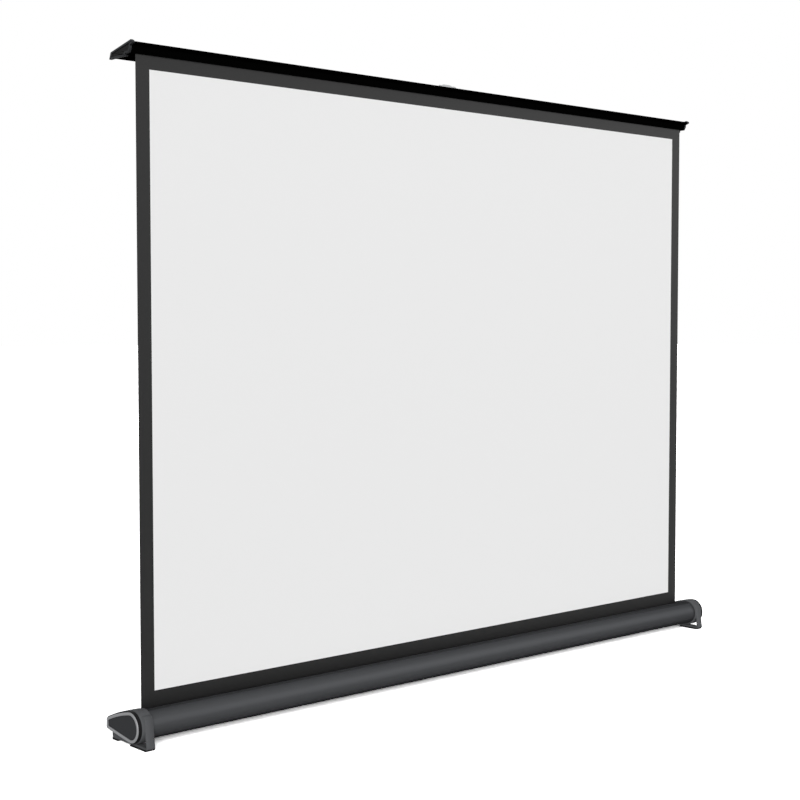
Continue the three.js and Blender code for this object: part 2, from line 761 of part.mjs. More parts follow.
function baseBracket() {
  const half = armWidth / 2;
  const fromX = basePivotX - baseCheekHalfLength;
  const toX = basePivotX + baseCheekHalfLength;
  const cheekRearY = baseCheekY + cheekThickness;
  const plate = toSolid(box(fromX, toX, baseCheekY, cheekRearY, basePivotZ - half, basePivotZ + half));
  const hole = circle(basePivotX, basePivotZ, slimPinRadius + seatGap);
  const bore = alongY(hole, baseCheekY - overrun, cheekRearY + overrun);
  add('base_bracket', toGeometry(cut(plate, bore)), steel);
}

function topBracket() {
  const cheekY = rearArmRearY + runGap;
  const cheekRearY = cheekY + cheekThickness;
  const flangeY = cheekRearY + topFlangeDepth;
  const under = (y) => barSkinZ(y) - seatGap;
  const bottom = topPivotZ - armWidth / 2;
  const section = polygon([
    [cheekY, bottom],
    [cheekRearY, bottom],
    [cheekRearY, under(cheekRearY) - topFlangeThickness],
    [flangeY, under(flangeY) - topFlangeThickness],
    [flangeY, under(flangeY)],
    [cheekY, under(cheekY)],
  ]);
  const fromX = basePivotX - topCheekHalfLength;
  const toX = basePivotX + topCheekHalfLength;
  const bracket = toSolid(alongX(section, fromX, toX));
  const hole = circle(basePivotX, topPivotZ, slimPinRadius + seatGap);
  const bore = alongY(hole, cheekY - overrun, cheekRearY + overrun);
  add('top_bracket', toGeometry(cut(bracket, bore)), steel);
}

// Tracks for the two shoes, open towards the arms

const closedX = basePivotX + armLength;
const trackFromX = rightX - trackEndMargin;
const trackToX = closedX + trackEndMargin;

function baseTrack() {
  const wallRearY = fenceFrontY - seatGap;
  const wallY = lowerShoeY + lowerShoeDepth + runGap;
  const lipZ = basePivotZ + lowerShoeHalfHeight + runGap;
  const bottom = channelFloorZ + seatGap;
  const section = polygon([
    [wallY, bottom],
    [wallRearY, bottom],
    [wallRearY, lipZ + trackWall],
    [wallY - trackLip, lipZ + trackWall],
    [wallY - trackLip, lipZ],
    [wallY, lipZ],
  ]);
  add('base_track', alongX(section, trackFromX, trackToX), aluminium);
}

function topTrack() {
  const wallRearY = upperShoeRearY - upperShoeDepth - runGap;
  const wallY = bossRearY + seatGap;
  const lipZ = topPivotZ - upperShoeHalfHeight - runGap;
  const section = polygon([
    [wallY, lipZ - trackWall],
    [wallRearY + trackLip, lipZ - trackWall],
    [wallRearY + trackLip, lipZ],
    [wallRearY, lipZ],
    [wallRearY, barSkinZ(wallRearY) - seatGap],
    [wallY, barSkinZ(wallY) - seatGap],
  ]);
  add('top_track', alongX(section, trackFromX, trackToX), aluminium);
}

// Handle and release button, standing square to the bar's sloping top

const deckZ = barTopAt(deckY);

function onDeck(geometry) {
  return geometry.rotateX(-barTilt).translate(0, deckY, deckZ);
}

const hingeY = -handleDepth / 2 + hingeInset;

function handle() {
  const toX = handleStartX + handleWidth;
  const middle = (handleStartX + toX) / 2;
  const shape = new THREE.Shape();
  shape.moveTo(handleStartX, handleLift);
  shape.lineTo(toX, handleLift);
  shape.lineTo(toX, handleEdgeHeight);
  shape.quadraticCurveTo(middle, handleEdgeHeight + 2 * handleCrown, handleStartX, handleEdgeHeight);
  const bail = toSolid(alongY(shape, -handleDepth / 2, handleDepth / 2));
  const fingerToY = handleDepth / 2 - fingerRearMargin;
  const fingerFromX = middle - fingerWidth / 2;
  const fingerToX = middle + fingerWidth / 2;
  const finger = box(fingerFromX, fingerToX, fingerToY - fingerDepth, fingerToY, -overrun, overrun);
  const boreRadius = hingePinRadius + runGap;
  const bore = alongX(circle(hingeY, hingeHeight, boreRadius), handleStartX - overrun, toX + overrun);
  add('handle', onDeck(toGeometry(cut(bail, finger, bore))), lightPlastic);
}

function handleEars() {
  const toX = handleStartX + handleWidth;
  const places = [
    ['left', handleStartX - runGap - earThickness],
    ['right', toX + runGap],
  ];
  for (const [name, fromX] of places) {
    const shape = new THREE.Shape();
    shape.moveTo(hingeY + earHalfDepth, seatGap);
    shape.absarc(hingeY, hingeHeight, earHalfDepth, 0, Math.PI, false);
    shape.lineTo(hingeY - earHalfDepth, seatGap);
    const ear = toSolid(alongX(shape, fromX, fromX + earThickness));
    const reach = fromX + overrun;
    const bore = alongX(circle(hingeY, hingeHeight, hingePinRadius + seatGap), fromX - overrun, reach);
    add(`handle_ear_${name}`, onDeck(toGeometry(cut(ear, bore))), lightPlastic);
  }
  const reach = runGap + earThickness;
  const pin = turned([[handleStartX - reach, toX + reach, hingePinRadius]]);
  add('handle_pin', onDeck(layAlongX(pin).translate(0, hingeY, hingeHeight)), steel);
}

function releaseButton() {
  const upright = (geometry) => onDeck(geometry.rotateX(Math.PI / 2).translate(buttonX, 0, 0));
  const skin = -barWall;
  const corners = [
    [0, skin - seatGap - stemFlangeHeight],
    [stemFlangeRadius, skin - seatGap - stemFlangeHeight],
    [stemFlangeRadius, skin - seatGap],
    [stemRadius, skin - seatGap],
    [stemRadius, runGap + buttonTravel],
    [buttonRadius, runGap + buttonTravel],
    [buttonRadius, buttonHeight - buttonDomeHeight],
  ];
  const points = corners.map(([radius, height]) => new THREE.Vector2(radius, height));
  const domeFoot = buttonHeight - buttonDomeHeight;
  for (let step = 1; step <= domeSteps; step += 1) {
    const angle = (Math.PI / 2) * (step / domeSteps);
    const radius = step === domeSteps ? 0 : buttonRadius * Math.cos(angle);
    points.push(new THREE.Vector2(radius, domeFoot + buttonDomeHeight * Math.sin(angle)));
  }
  add('release_button', upright(new THREE.LatheGeometry(points, pinSides)), lightPlastic);
  const collarTop = seatGap + buttonCollarHeight;
  const collar = sleeve(seatGap, collarTop, buttonCollarRadius, buttonRadius + runGap, pinSides);
  add('button_collar', upright(collar), lightPlastic);
}

housingExtrusion();
rearFence();
slotGuide();
for (const [name, side] of bothSides) {
  endCap(name, side);
  endRing(name, side);
  endInlay(name, side);
  capScrews(name, side);
  foot(name, side);
  footPads(name, side);
}
roller();
rollerSpring();
rollerBracket('left', -1, gudgeonRadius + runGap);
rollerBracket('right', 1, arborRadius + seatGap);
fabric();
topBar();
for (const [name, side] of bothSides) {
  barCap(name, side);
}
topSpline();
arms();
pins();
shoes();
baseBracket();
topBracket();
baseTrack();
topTrack();
handle();
handleEars();
releaseButton();

export default screen;
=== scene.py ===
"""A table-top pull-up projector screen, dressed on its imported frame. Metres, +X along the width, +Z up."""

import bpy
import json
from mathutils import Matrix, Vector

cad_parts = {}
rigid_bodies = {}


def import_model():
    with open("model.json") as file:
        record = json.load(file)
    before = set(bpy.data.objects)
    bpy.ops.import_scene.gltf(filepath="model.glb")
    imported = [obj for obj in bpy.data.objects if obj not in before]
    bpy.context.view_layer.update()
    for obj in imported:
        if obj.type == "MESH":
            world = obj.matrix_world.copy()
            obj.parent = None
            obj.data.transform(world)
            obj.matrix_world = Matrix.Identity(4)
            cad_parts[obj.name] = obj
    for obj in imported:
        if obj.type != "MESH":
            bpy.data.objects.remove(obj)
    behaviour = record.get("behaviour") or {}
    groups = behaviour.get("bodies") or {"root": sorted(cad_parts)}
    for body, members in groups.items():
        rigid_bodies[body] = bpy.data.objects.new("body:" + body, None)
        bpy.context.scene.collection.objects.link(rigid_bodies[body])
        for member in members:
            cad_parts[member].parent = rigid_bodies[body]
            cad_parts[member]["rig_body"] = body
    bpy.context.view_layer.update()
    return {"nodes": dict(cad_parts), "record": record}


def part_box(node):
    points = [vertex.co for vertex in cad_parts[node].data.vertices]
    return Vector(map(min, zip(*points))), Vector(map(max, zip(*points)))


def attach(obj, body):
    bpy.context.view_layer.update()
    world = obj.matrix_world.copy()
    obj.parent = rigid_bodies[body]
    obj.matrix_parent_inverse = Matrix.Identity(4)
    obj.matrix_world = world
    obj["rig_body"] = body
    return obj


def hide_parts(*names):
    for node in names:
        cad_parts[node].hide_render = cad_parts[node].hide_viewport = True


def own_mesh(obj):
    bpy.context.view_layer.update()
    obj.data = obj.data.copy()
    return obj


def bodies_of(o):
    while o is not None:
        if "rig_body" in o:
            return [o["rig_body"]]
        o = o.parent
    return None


bl_info = {
    "name": "Portable projector screen",
    "version": (1, 0, 0),
    "blender": (4, 5, 0),
    "location": "3D View > Sidebar > Screen",
    "description": "Builds the visible pieces of a table-top pull-up projector screen on its packed frame",
    "category": "Object",
}

import json
import math

import bmesh
import bpy
from bpy.props import FloatProperty, FloatVectorProperty, IntProperty, PointerProperty
from bpy.types import Operator, Panel, PropertyGroup
from mathutils import Matrix, Vector

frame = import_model()

SIDES = (("left", -1), ("right", 1))


def linear(code):
    """A colour written as sRGB hex, as the linear values that a shader takes."""
    channels = [int(code[place : place + 2], 16) / 255 for place in (1, 3, 5)]
    bright = [c / 12.92 if c <= 0.04045 else ((c + 0.055) / 1.055) ** 2.4 for c in channels]
    return (*bright, 1.0)


def length(name, description, default):
    return FloatProperty(name=name, description=description, default=default, unit="LENGTH", precision=5)


def angle(name, description, degrees):
    turn = math.radians(degrees)
    return FloatProperty(name=name, description=description, default=turn, unit="ROTATION")


def share(name, description, default):
    return FloatProperty(name=name, description=description, default=default, min=0.0, subtype="FACTOR")


def count(name, description, default):
    return IntProperty(name=name, description=description, default=default, min=1)


def number(name, description, default):
    return FloatProperty(name=name, description=description, default=default)


def colour(name, description, code):
    return FloatVectorProperty(
        name=name,
        description=description,
        default=linear(code),
        size=4,
        min=0.0,
        max=1.0,
        subtype="COLOR",
    )


class HousingSizes(PropertyGroup):
    """The housing's section and its two ends."""

    nose_y: length("Nose depth", "Centre of the large round nose, front to rear", -0.0185)
    nose_z: length("Nose height", "Centre of the large round nose above the table", 0.0268)
    nose_radius: length("Nose radius", "Radius of the nose", 0.0178)
    tail_y: length("Tail depth", "Centre of the small blunt tail, front to rear", 0.028)
    tail_z: length("Tail height", "Centre of the small blunt tail above the table", 0.0232)
    tail_radius: length("Tail radius", "From the tail's centre to its three sides", 0.0075)
    tail_corner: length("Tail corner", "Rounding of the tail's two rear corners", 0.0022)
    crown_front: angle("Crown front tilt", "Fall of the crown where it leaves the nose", 11.3)
    crown_rear: angle("Crown rear tilt", "Fall of the crown where it meets the tail", 22.8)
    wall: length("Wall", "Thickness of the extruded wall", 0.0018)
    slot_front: length("Slot front", "Front lip of the fabric slot", -0.0014)
    partition_front: length("Partition front", "Front face of the inner partition", 0.0046)
    partition_rear: length("Partition rear", "Rear face of the inner partition", 0.0062)
    partition_top: length("Partition top", "Top of the inner partition", 0.038)
    channel_rear: length("Channel rear", "Rear lip of the storage channel", 0.0293)
    floor_top: length("Channel floor", "Top of the storage channel's floor", 0.0193)
    floor_bottom: length("Floor underside", "Underside of the storage channel's floor", 0.0178)
    bite: length("Web bite", "How far an inner web runs into the wall", 0.0006)
    lip_round: length("Lip rounding", "Rounding of the extrusion's free lips", 0.0004)
    port_bore: length("Port bore", "Radius of the bore in a screw port", 0.0012)
    nose_boss: length("Nose boss", "Radius of the front screw port", 0.0028)
    tail_boss: length("Tail boss", "Radius of the rear screw port", 0.0022)
    cap_proud: length("Cap proud", "How far the end cap stands out round the housing", 0.0021)
    cap_skirt: length("Cap skirt", "How far the end cap wraps round the housing's end", 0.0016)
    skirt_gap: length("Skirt gap", "Gap inside the skirt and beside it", 0.0001)
    cap_round: length("Cap rounding", "Rounding of the end cap's rim", 0.0004)
    frame_inset: length("Frame inset", "From the end cap's rim to the light frame", 0.0012)
    frame_width: length("Frame width", "Width of the light frame on the end cap", 0.0036)
    frame_round: length("Frame rounding", "Rounding of the light frame's outer edge", 0.0007)
    inlay_gap: length("Inlay gap", "Gap between the frame and the inlay", 0.0003)
    inlay_round: length("Inlay rounding", "Rounding of the inlay's edge", 0.0003)
    inlay_margin: length("Inlay margin", "Flat margin of the inlay's face", 0.0024)


class FootSizes(PropertyGroup):
    """A foot: its collar round the housing, its leg and its pads."""

    collar_gap: length("Collar gap", "Gap between the housing and the collar", 0.0003)
    collar_wall: length("Collar wall", "Thickness of the collar", 0.0024)
    collar_round: length("Collar rounding", "Rounding of the collar's outer edges", 0.0009)
    leg_inset: length("Leg inset", "From the collar's inner side to the leg", 0.001)
    leg_width: length("Leg width", "Width of the leg", 0.0116)
    leg_thickness: length("Leg thickness", "Thickness of the leg, front to rear", 0.002)
    leg_top: length("Leg top", "Height of the leg's top over the nose's centre", 0.0157)
    shoulder_inset: length("Shoulder inset", "Leg's shoulder behind the collar's front", 0.0011)
    shoulder_rise: length("Shoulder rise", "Leg's shoulder over the nose's centre", 0.0097)
    toe_reach: length("Toe reach", "How far the toe stands out in front", 0.004)
    heel_inset: length("Heel inset", "Heel in front of the collar's rear", 0.0014)
    heel_drop: length("Heel drop", "Heel's shoulder under the tail's centre", 0.0092)
    sole: length("Sole", "Thickness of the rubber under the foot", 0.0024)
    gap_bottom: length("Opening bottom", "Opening's lowest corner over the sole", 0.002)
    gap_reach: length("Opening reach", "Opening's rear corner behind the nose's centre", 0.0045)
    gap_rear: length("Opening rear", "Opening's rear corner over the sole", 0.0026)
    gap_drop: length("Opening drop", "Opening's top under the nose's centre", 0.0068)
    edge_round: length("Edge rounding", "Rounding of the leg's edges", 0.0005)
    rib_pitch: length("Rib pitch", "From one rib of the rubber to the next", 0.0016)
    rib_radius: length("Rib radius", "Radius of a rib of the rubber", 0.0005)


class FabricSizes(PropertyGroup):
    """The fabric and its roller."""

    columns: count("Columns", "Divisions of a cloth across its width", 24)
    rows: count("Rows", "Divisions of a cloth over its height", 18)
    turns: number("Turns", "Spare turns on the roller", 2.0)
    cloth: length("Cloth", "Thickness of the cloth", 0.00033)
    inset: share("Inset", "How far a cloth's faces lie inside its solid, per thickness", 0.03)
    folded: share("Folded share", "Height left of the cloth when the screen is down", 0.0275)
    roller_y: length("Roller depth", "Axis of the roller, front to rear", -0.0109)
    roller_z: length("Roller height", "Axis of the roller above the table", 0.0266)
    tube_wall: length("Tube wall", "Wall of the roller tube", 0.0012)
    wire: length("Spring wire", "Diameter of the roller spring's wire", 0.0024)
    coil_pitch: length("Coil pitch", "From one coil of the roller spring to the next", 0.0029)


class BarSizes(PropertyGroup):
    """The top bar's section and its end caps."""

    edge_z: length("Edge height", "Height of the bar's lower front edge", 0.8405)
    front_edge: length("Front edge", "Depth of the lower front edge", -0.002)
    face: length("Face", "Depth of the steep front face", -0.005)
    face_foot: length("Face foot", "Foot of the steep face over the lower front edge", 0.005)
    face_top: length("Face top", "Top of the steep face over the lower front edge", 0.0086)
    nose: length("Nose", "Depth of the front lip", -0.0114)
    nose_rise: length("Nose rise", "Front lip over the lower front edge", 0.0106)
    top_front: length("Top front", "Depth at which the top's straight fall starts", -0.0075)
    top_rise: length("Top rise", "Highest point over the lower front edge", 0.0129)
    top_rear: length("Top rear", "Depth of the top's rear edge", 0.0355)
    rear_rise: length("Rear rise", "Top's rear edge over the lower front edge", 0.0041)
    rear_foot: length("Rear foot", "Depth of the rear flange's foot", 0.0386)
    rear_drop: length("Rear drop", "Rear foot under the lower front edge", 0.0019)
    lip: length("Lip", "Width of the rear lip", 0.005)
    wall: length("Wall", "Thickness of the extruded wall", 0.0015)
    boss_rear: length("Boss rear", "Rear of the solid front boss", 0.003)
    cloth_middle: length("Cloth middle", "Depth of the cloth's middle", 0.000175)
    spline_rise: length("Spline rise", "Spline's axis over the lower front edge", 0.0051)
    spline_bore: length("Spline bore", "Radius of the bore that holds the spline", 0.0019)
    slit: length("Slit", "Width of the slit for the cloth", 0.00105)
    edge_round: length("Edge rounding", "Rounding of the bar's edges", 0.0004)
    cap_proud: length("Cap proud", "How far the cap stands out over the bar's top", 0.002)
    cap_rear: length("Cap rear", "How far the cap stands out behind the bar", 0.0035)
    cap_round: length("Cap rounding", "Rounding of the cap's corners", 0.001)
    cap_step: length("Cap step", "Depth where the cap steps down", 0.007)
    cap_drop: length("Cap drop", "Cap's underside under the lower front edge", 0.0032)
    cap_plate: length("Cap plate", "Thickness of the cap's plate", 0.003)
    cap_rim: length("Cap rim", "Width of the cap's raised rim", 0.0022)
    cap_sink: length("Cap sink", "How far the cap's middle is sunk", 0.0012)
    # The black sheet in the cap's sunk middle is painted shade of the recess
    cap_shade_sheet: length("Cap panel", "Thickness of the black panel in the cap's middle", 0.0006)
    tongue_front: length("Tongue front", "Front of the cap's tongue", 0.014)
    tongue_rear: length("Tongue rear", "Rear of the cap's tongue", 0.028)
    tongue_drop: length("Tongue drop", "Tongue's underside under the lower front edge", 0.001)
    tongue_rise: length("Tongue rise", "Tongue's top over the lower front edge", 0.003)
    well: length("Button well", "Radius of the hole for the button's stem", 0.0037)


class ScissorSizes(PropertyGroup):
    """The folding arms and their pins."""

    arm_width: length("Arm width", "Width of an arm", 0.01)
    arm_round: length("Arm rounding", "Rounding of an arm's edges", 0.0006)
    bore: length("Bore", "Radius of an arm's wide bore", 0.0033)
    slim_bore: length("Slim bore", "Radius of an arm's bore for a slim pin", 0.0027)
    pin: length("Pin", "Radius of a pin", 0.003)
    slim_pin: length("Slim pin", "Radius of a slim pin", 0.0024)
    head_height: length("Head height", "Height of a pin's head", 0.0015)
    dome: length("Dome", "Height of the domed top of a pin's head", 0.0006)
    plate_round: length("Plate rounding", "Rounding of the brackets, tracks and shoes", 0.0003)


class HandleSizes(PropertyGroup):
    """The handle and the button on top of the bar."""

    handle_x: length("Handle place", "Handle's left side along the bar", -0.0166)
    handle_width: length("Handle width", "Width of the handle", 0.02)
    handle_depth: length("Handle depth", "Depth of the handle, front to rear", 0.017)
    handle_foot: length("Handle foot", "Height of the handle's underside over the bar", 0.002)
    handle_shoulder: length("Handle shoulder", "Height of the handle's two ends", 0.006)
    handle_top: length("Handle top", "Height of the handle's long flat crown", 0.0081)
    handle_bend: length("Handle bend", "Run of the bend from an end to the crown", 0.005)
    finger_width: length("Finger width", "Width of the finger opening", 0.012)
    finger_depth: length("Finger depth", "Depth of the finger opening", 0.0086)
    finger_rear: length("Finger margin", "From the finger opening to the handle's rear", 0.0034)
    hinge_inset: length("Hinge inset", "Hinge behind the handle's front", 0.0025)
    hinge_height: length("Hinge height", "Height of the hinge over the bar", 0.0042)
    hinge_bore: length("Hinge bore", "Radius of the handle's bore round the hinge pin", 0.0015)
    handle_round: length("Handle rounding", "Rounding of the handle's edges", 0.0006)
    ear_round: length("Ear rounding", "Rounding of the ears' edges", 0.0003)
    button_x: length("Button place", "Button's place along the bar", 0.0132)
    deck_y: length("Deck depth", "Depth of the handle's and the button's middle", 0.011)
    button_radius: length("Button radius", "Radius of the button", 0.0049)
    button_height: length("Button height", "Height of the button over the bar", 0.01)
    button_dome: length("Button dome", "Height of the button's domed top", 0.003)
    button_foot: length("Button foot", "Height of the button's underside", 0.0025)
    stem: length("Stem", "Radius of the button's stem", 0.0034)
    flange: length("Flange", "Radius of the stem's flange", 0.0046)
    flange_top: length("Flange top", "Depth of the flange under the bar's top", 0.0018)
    flange_bottom: length("Flange bottom", "Depth of the flange's underside", 0.003)
    collar_radius: length("Collar radius", "Radius of the button's collar", 0.0063)
    collar_bore: length("Collar bore", "Radius of the collar's bore", 0.0052)
    collar_foot: length("Collar foot", "Height of the collar's underside", 0.0003)
    collar_top: length("Collar top", "Height of the collar's top", 0.0049)
    collar_round: length("Collar rounding", "Rounding of the collar's top edge", 0.0004)


class Finishes(PropertyGroup):
    """The colours of the object's finishes."""

    housing: colour("Housing", "Dyed anodising of the housing", "#48494b")
    housing_edge: colour("Housing edge", "The anodising at a grazing angle", "#3c3c3c")
    bar: colour("Top bar", "Black coat of the top bar", "#030303")
    dark_plastic: colour("Dark plastic", "Feet", "#525355")
    graphite: colour("Graphite plastic", "Inlays and bar caps", "#303133")
    # Real black of the end caps and roller plugs, and the painted shade sheet in the bar caps' sunk middles
    black_plastic_and_shade: colour("Black plastic", "End caps and roller plugs", "#101011")
    frame: colour("Frame paint", "Light frames on the end caps", "#969799")
    light_plastic: colour("Light plastic", "Handle and button", "#adaeaf")
    rubber: colour("Rubber", "Pads under the feet", "#121212")
    zinc: colour("Dark zinc", "Scissor arms and brackets", "#8c8f93")
    bright_zinc: colour("Bright zinc", "Pins, screws and springs", "#a9acb0")
    aluminium: colour("Aluminium", "Roller tube and tracks", "#a9abae")
    nylon: colour("Nylon", "Shoes, slot guide and spline", "#d8d6cf")
    white_cloth: colour("White cloth", "Picture field", "#e6e6e6")
    black_cloth: colour("Black cloth", "Border of the picture", "#060606")


class StageSizes(PropertyGroup):
    """The floor, the light and the camera."""

    floor: length("Floor", "Half the floor's width", 30.0)
    floor_tone: colour("Floor tone", "Colour of the floor as a source of soft light", "#707070")
    sky: share("Sky", "Strength of the light from all round", 0.2)
    lamp: number("Lamp", "Strength of the large soft lamp", 4.5)
    lamp_width: angle("Lamp width", "Angle that the large soft lamp covers", 50.0)
    lamp_rise: angle("Lamp rise", "Height of the lamp over the horizon", 10.0)
    lamp_turn: angle("Lamp turn", "Turn of the lamp from straight in front", 41.7)
    side_lamp: number("Side lamp", "Strength of the soft lamp at the right", 0.5)
    side_width: angle("Side lamp width", "Angle that the right lamp covers", 40.0)
    side_rise: angle("Side lamp rise", "Height of the right lamp over the horizon", 20.0)
    side_turn: angle("Side lamp turn", "Turn of the right lamp from straight in front", -50.0)
    camera_place: FloatVectorProperty(
        name="Camera place",
        description="Where the camera stands",
        default=(-1.488, -1.5572, 0.5145),
        size=3,
        unit="LENGTH",
        subtype="XYZ",
    )
    camera_turn: angle("Camera turn", "Turn of the camera from straight on", 41.7)
    camera_dip: angle("Camera dip", "Dip of the camera under the horizon", 2.916)
    camera_reach: length("Camera reach", "How far the camera sees", 100.0)
    lens: number("Lens", "Focal length in millimetres", 66.62)
    sensor: number("Sensor", "Width of the camera's sensor in millimetres", 36.0)


def add_node(tree, kind, inputs=None, **settings):
    """Adds a node, sets it up, and fills its inputs with values or with links from other nodes' outputs."""
    node = tree.nodes.new(kind)
    for name, value in settings.items():
        setattr(node, name, value)
    for socket, value in (inputs or {}).items():
        if isinstance(value, bpy.types.NodeSocket):
            tree.links.new(value, node.inputs[socket])
        else:
            node.inputs[socket].default_value = value
    return node


def shade(tone, amount):
    """A colour made darker or lighter by a factor."""
    return (*[channel * amount for channel in tone[:3]], 1.0)


def blank_finish(name):
    material = bpy.data.materials.new(name)
    material.use_nodes = True
    material.node_tree.nodes.clear()
    return material, material.node_tree


def speckle(tree, scale, detail):
    """An even grain over the object's own coordinates."""
    place = add_node(tree, "ShaderNodeTexCoord").outputs["Object"]
    grain = add_node(tree, "ShaderNodeTexNoise", {"Vector": place, "Scale": scale, "Detail": detail})
    return grain.outputs["Fac"]


def long_lines(tree, along, across):
    """Fine lines that run along X."""
    place = add_node(tree, "ShaderNodeTexCoord").outputs["Object"]
    drawn = add_node(tree, "ShaderNodeMapping", {"Vector": place, "Scale": (along, across, across)})
    lines = add_node(tree, "ShaderNodeTexNoise", {"Vector": drawn.outputs[0], "Scale": 1.0})
    return lines.outputs["Fac"]


def close_finish(tree, pattern, tone, tint, plain, gloss=None, relief=None, fine=None):
    """Ends a finish: a pattern tints the tone, and it or a finer one sets the roughness and the relief."""
    fine = pattern if fine is None else fine
    # Of the mix node's sockets, 0 is the share, 6 and 7 are the two colours and output 2 is the result
    ends = {0: pattern, 6: shade(tone, tint[0]), 7: shade(tone, tint[1])}
    mixed = add_node(tree, "ShaderNodeMix", ends, data_type="RGBA").outputs[2]
    inputs = {**plain, "Base Color": mixed}
    if gloss:
        rough = {"Value": fine, "To Min": gloss[0], "To Max": gloss[1]}
        inputs["Roughness"] = add_node(tree, "ShaderNodeMapRange", rough).outputs[0]
    if relief:
        bump = {"Height": fine, "Strength": relief[0], "Distance": relief[1]}
        inputs["Normal"] = add_node(tree, "ShaderNodeBump", bump).outputs[0]
    shader = add_node(tree, "ShaderNodeBsdfPrincipled", inputs)
    add_node(tree, "ShaderNodeOutputMaterial", {"Surface": shader.outputs["BSDF"]})


# Aluminium extrusion, etched and anodised dark grey: half metal, half dye, darker at a grazing
# angle, where light goes farther through the dye. Faint die lines run along the length. The
# etched grain is drawn about five times its real size to show.
def dyed_anodising(colours):
    material, tree = blank_finish("Dark grey anodised aluminium")
    etched = speckle(tree, scale=900.0, detail=2.0)
    lines = long_lines(tree, along=2.0, across=400.0)
    lift = 0.2
    both = add_node(tree, "ShaderNodeMath", {0: etched, 1: lines, 2: lift}, operation="MULTIPLY_ADD")
    dye = {"Metallic": 0.5, "Specular IOR Level": 0.0, "Specular Tint": colours.housing_edge}
    close_finish(
        tree,
        both.outputs[0],
        colours.housing,
        tint=(0.9, 1.12),
        plain=dye,
        gloss=(0.36, 0.46),
        relief=(0.2, 5e-5),
        fine=etched,
    )
    return material


# Matt black powder coat on the bar: it swallows almost all light, with a barely visible grain.
def black_coat(colours):
    material, tree = blank_finish("Matt black powder coat")
    powder = speckle(tree, scale=900.0, detail=2.0)
    matt = {"Specular IOR Level": 0.0}
    tint = (0.7, 1.3)
    close_finish(tree, powder, colours.bar, tint, matt, gloss=(0.7, 0.85), relief=(0.15, 5e-5))
    return material


# Injection-moulded ABS from a spark-eroded tool: a fine matt grain that breaks up the gloss.
# The grain is 0.3 mm across and drawn as 1 mm so that it shows.
def moulded_plastic(name, tone, rough, specular):
    material, tree = blank_finish(name)
    grain = speckle(tree, scale=1000.0, detail=3.0)
    spread = 0.05
    gloss = (rough - spread, rough + spread)
    plain = {"Specular IOR Level": specular}
    close_finish(tree, grain, tone, tint=(0.9, 1.1), plain=plain, gloss=gloss, relief=(0.3, 6e-5))
    return material


# Silver-grey metallic paint on plastic: small flakes give a soft, slightly uneven gloss.
def frame_paint(colours):
    material, tree = blank_finish("Silver-grey metallic paint")
    place = add_node(tree, "ShaderNodeTexCoord").outputs["Object"]
    flakes = add_node(tree, "ShaderNodeTexVoronoi", {"Vector": place, "Scale": 1500.0})
    pattern = flakes.outputs["Distance"]
    paint = {"Metallic": 0.2}
    close_finish(tree, pattern, colours.frame, tint=(1.08, 0.9), plain=paint, gloss=(0.36, 0.48))
    return material


# Vulcanised rubber: dull black, with a coarse, slightly dusty grain.
def pad_rubber(colours):
    material, tree = blank_finish("Vulcanised rubber")
    grain = speckle(tree, scale=700.0, detail=4.0)
    dull = {"Roughness": 0.88, "Specular IOR Level": 0.2}
    close_finish(tree, grain, colours.rubber, tint=(0.8, 1.5), plain=dull, relief=(0.5, 1e-4))
    return material


# Zinc plating on pressed steel: metal with a soft cloudy spangle in its colour and its gloss.
def zinc_plate(name, tone, rough):
    material, tree = blank_finish(name)
    cloud = speckle(tree, scale=120.0, detail=5.0)
    gloss = (rough - 0.08, rough + 0.1)
    close_finish(tree, cloud, tone, tint=(0.82, 1.12), plain={"Metallic": 1.0}, gloss=gloss)
    return material


# Mill-finish aluminium: drawn lines along the length, half dull.
def mill_aluminium(colours):
    material, tree = blank_finish("Mill-finish aluminium")
    lines = long_lines(tree, along=4.0, across=700.0)
    metal = {"Metallic": 1.0}
    close_finish(tree, lines, colours.aluminium, tint=(0.85, 1.1), plain=metal, gloss=(0.32, 0.5))
    return material


# A woven cloth under a matt coat. The threads are 0.4 mm apart and drawn 1.6 mm apart so
# that they show; the cloth's own map runs in metres along and across it.
def coated_cloth(name, tone, contrast, rough, specular):
    material, tree = blank_finish(name)
    drawn_pitch = 0.0016
    # At a scale of 1 the wave texture runs through 20 waves in 2 pi
    scale = 2 * math.pi / (20 * drawn_pitch)
    place = add_node(tree, "ShaderNodeUVMap", uv_map="cloth").outputs["UV"]
    wave = {"Vector": place, "Scale": scale}
    warp, weft = [add_node(tree, "ShaderNodeTexWave", wave, bands_direction=way) for way in "XY"]
    crossed = {0: warp.outputs["Fac"], 1: weft.outputs["Fac"]}
    weave = add_node(tree, "ShaderNodeMath", crossed, operation="MULTIPLY")
    plain = {"Roughness": rough, "Specular IOR Level": specular}
    tint = (1 - contrast, 1 + contrast)
    close_finish(tree, weave.outputs[0], tone, tint, plain, relief=(0.2, 4e-5))
    return material


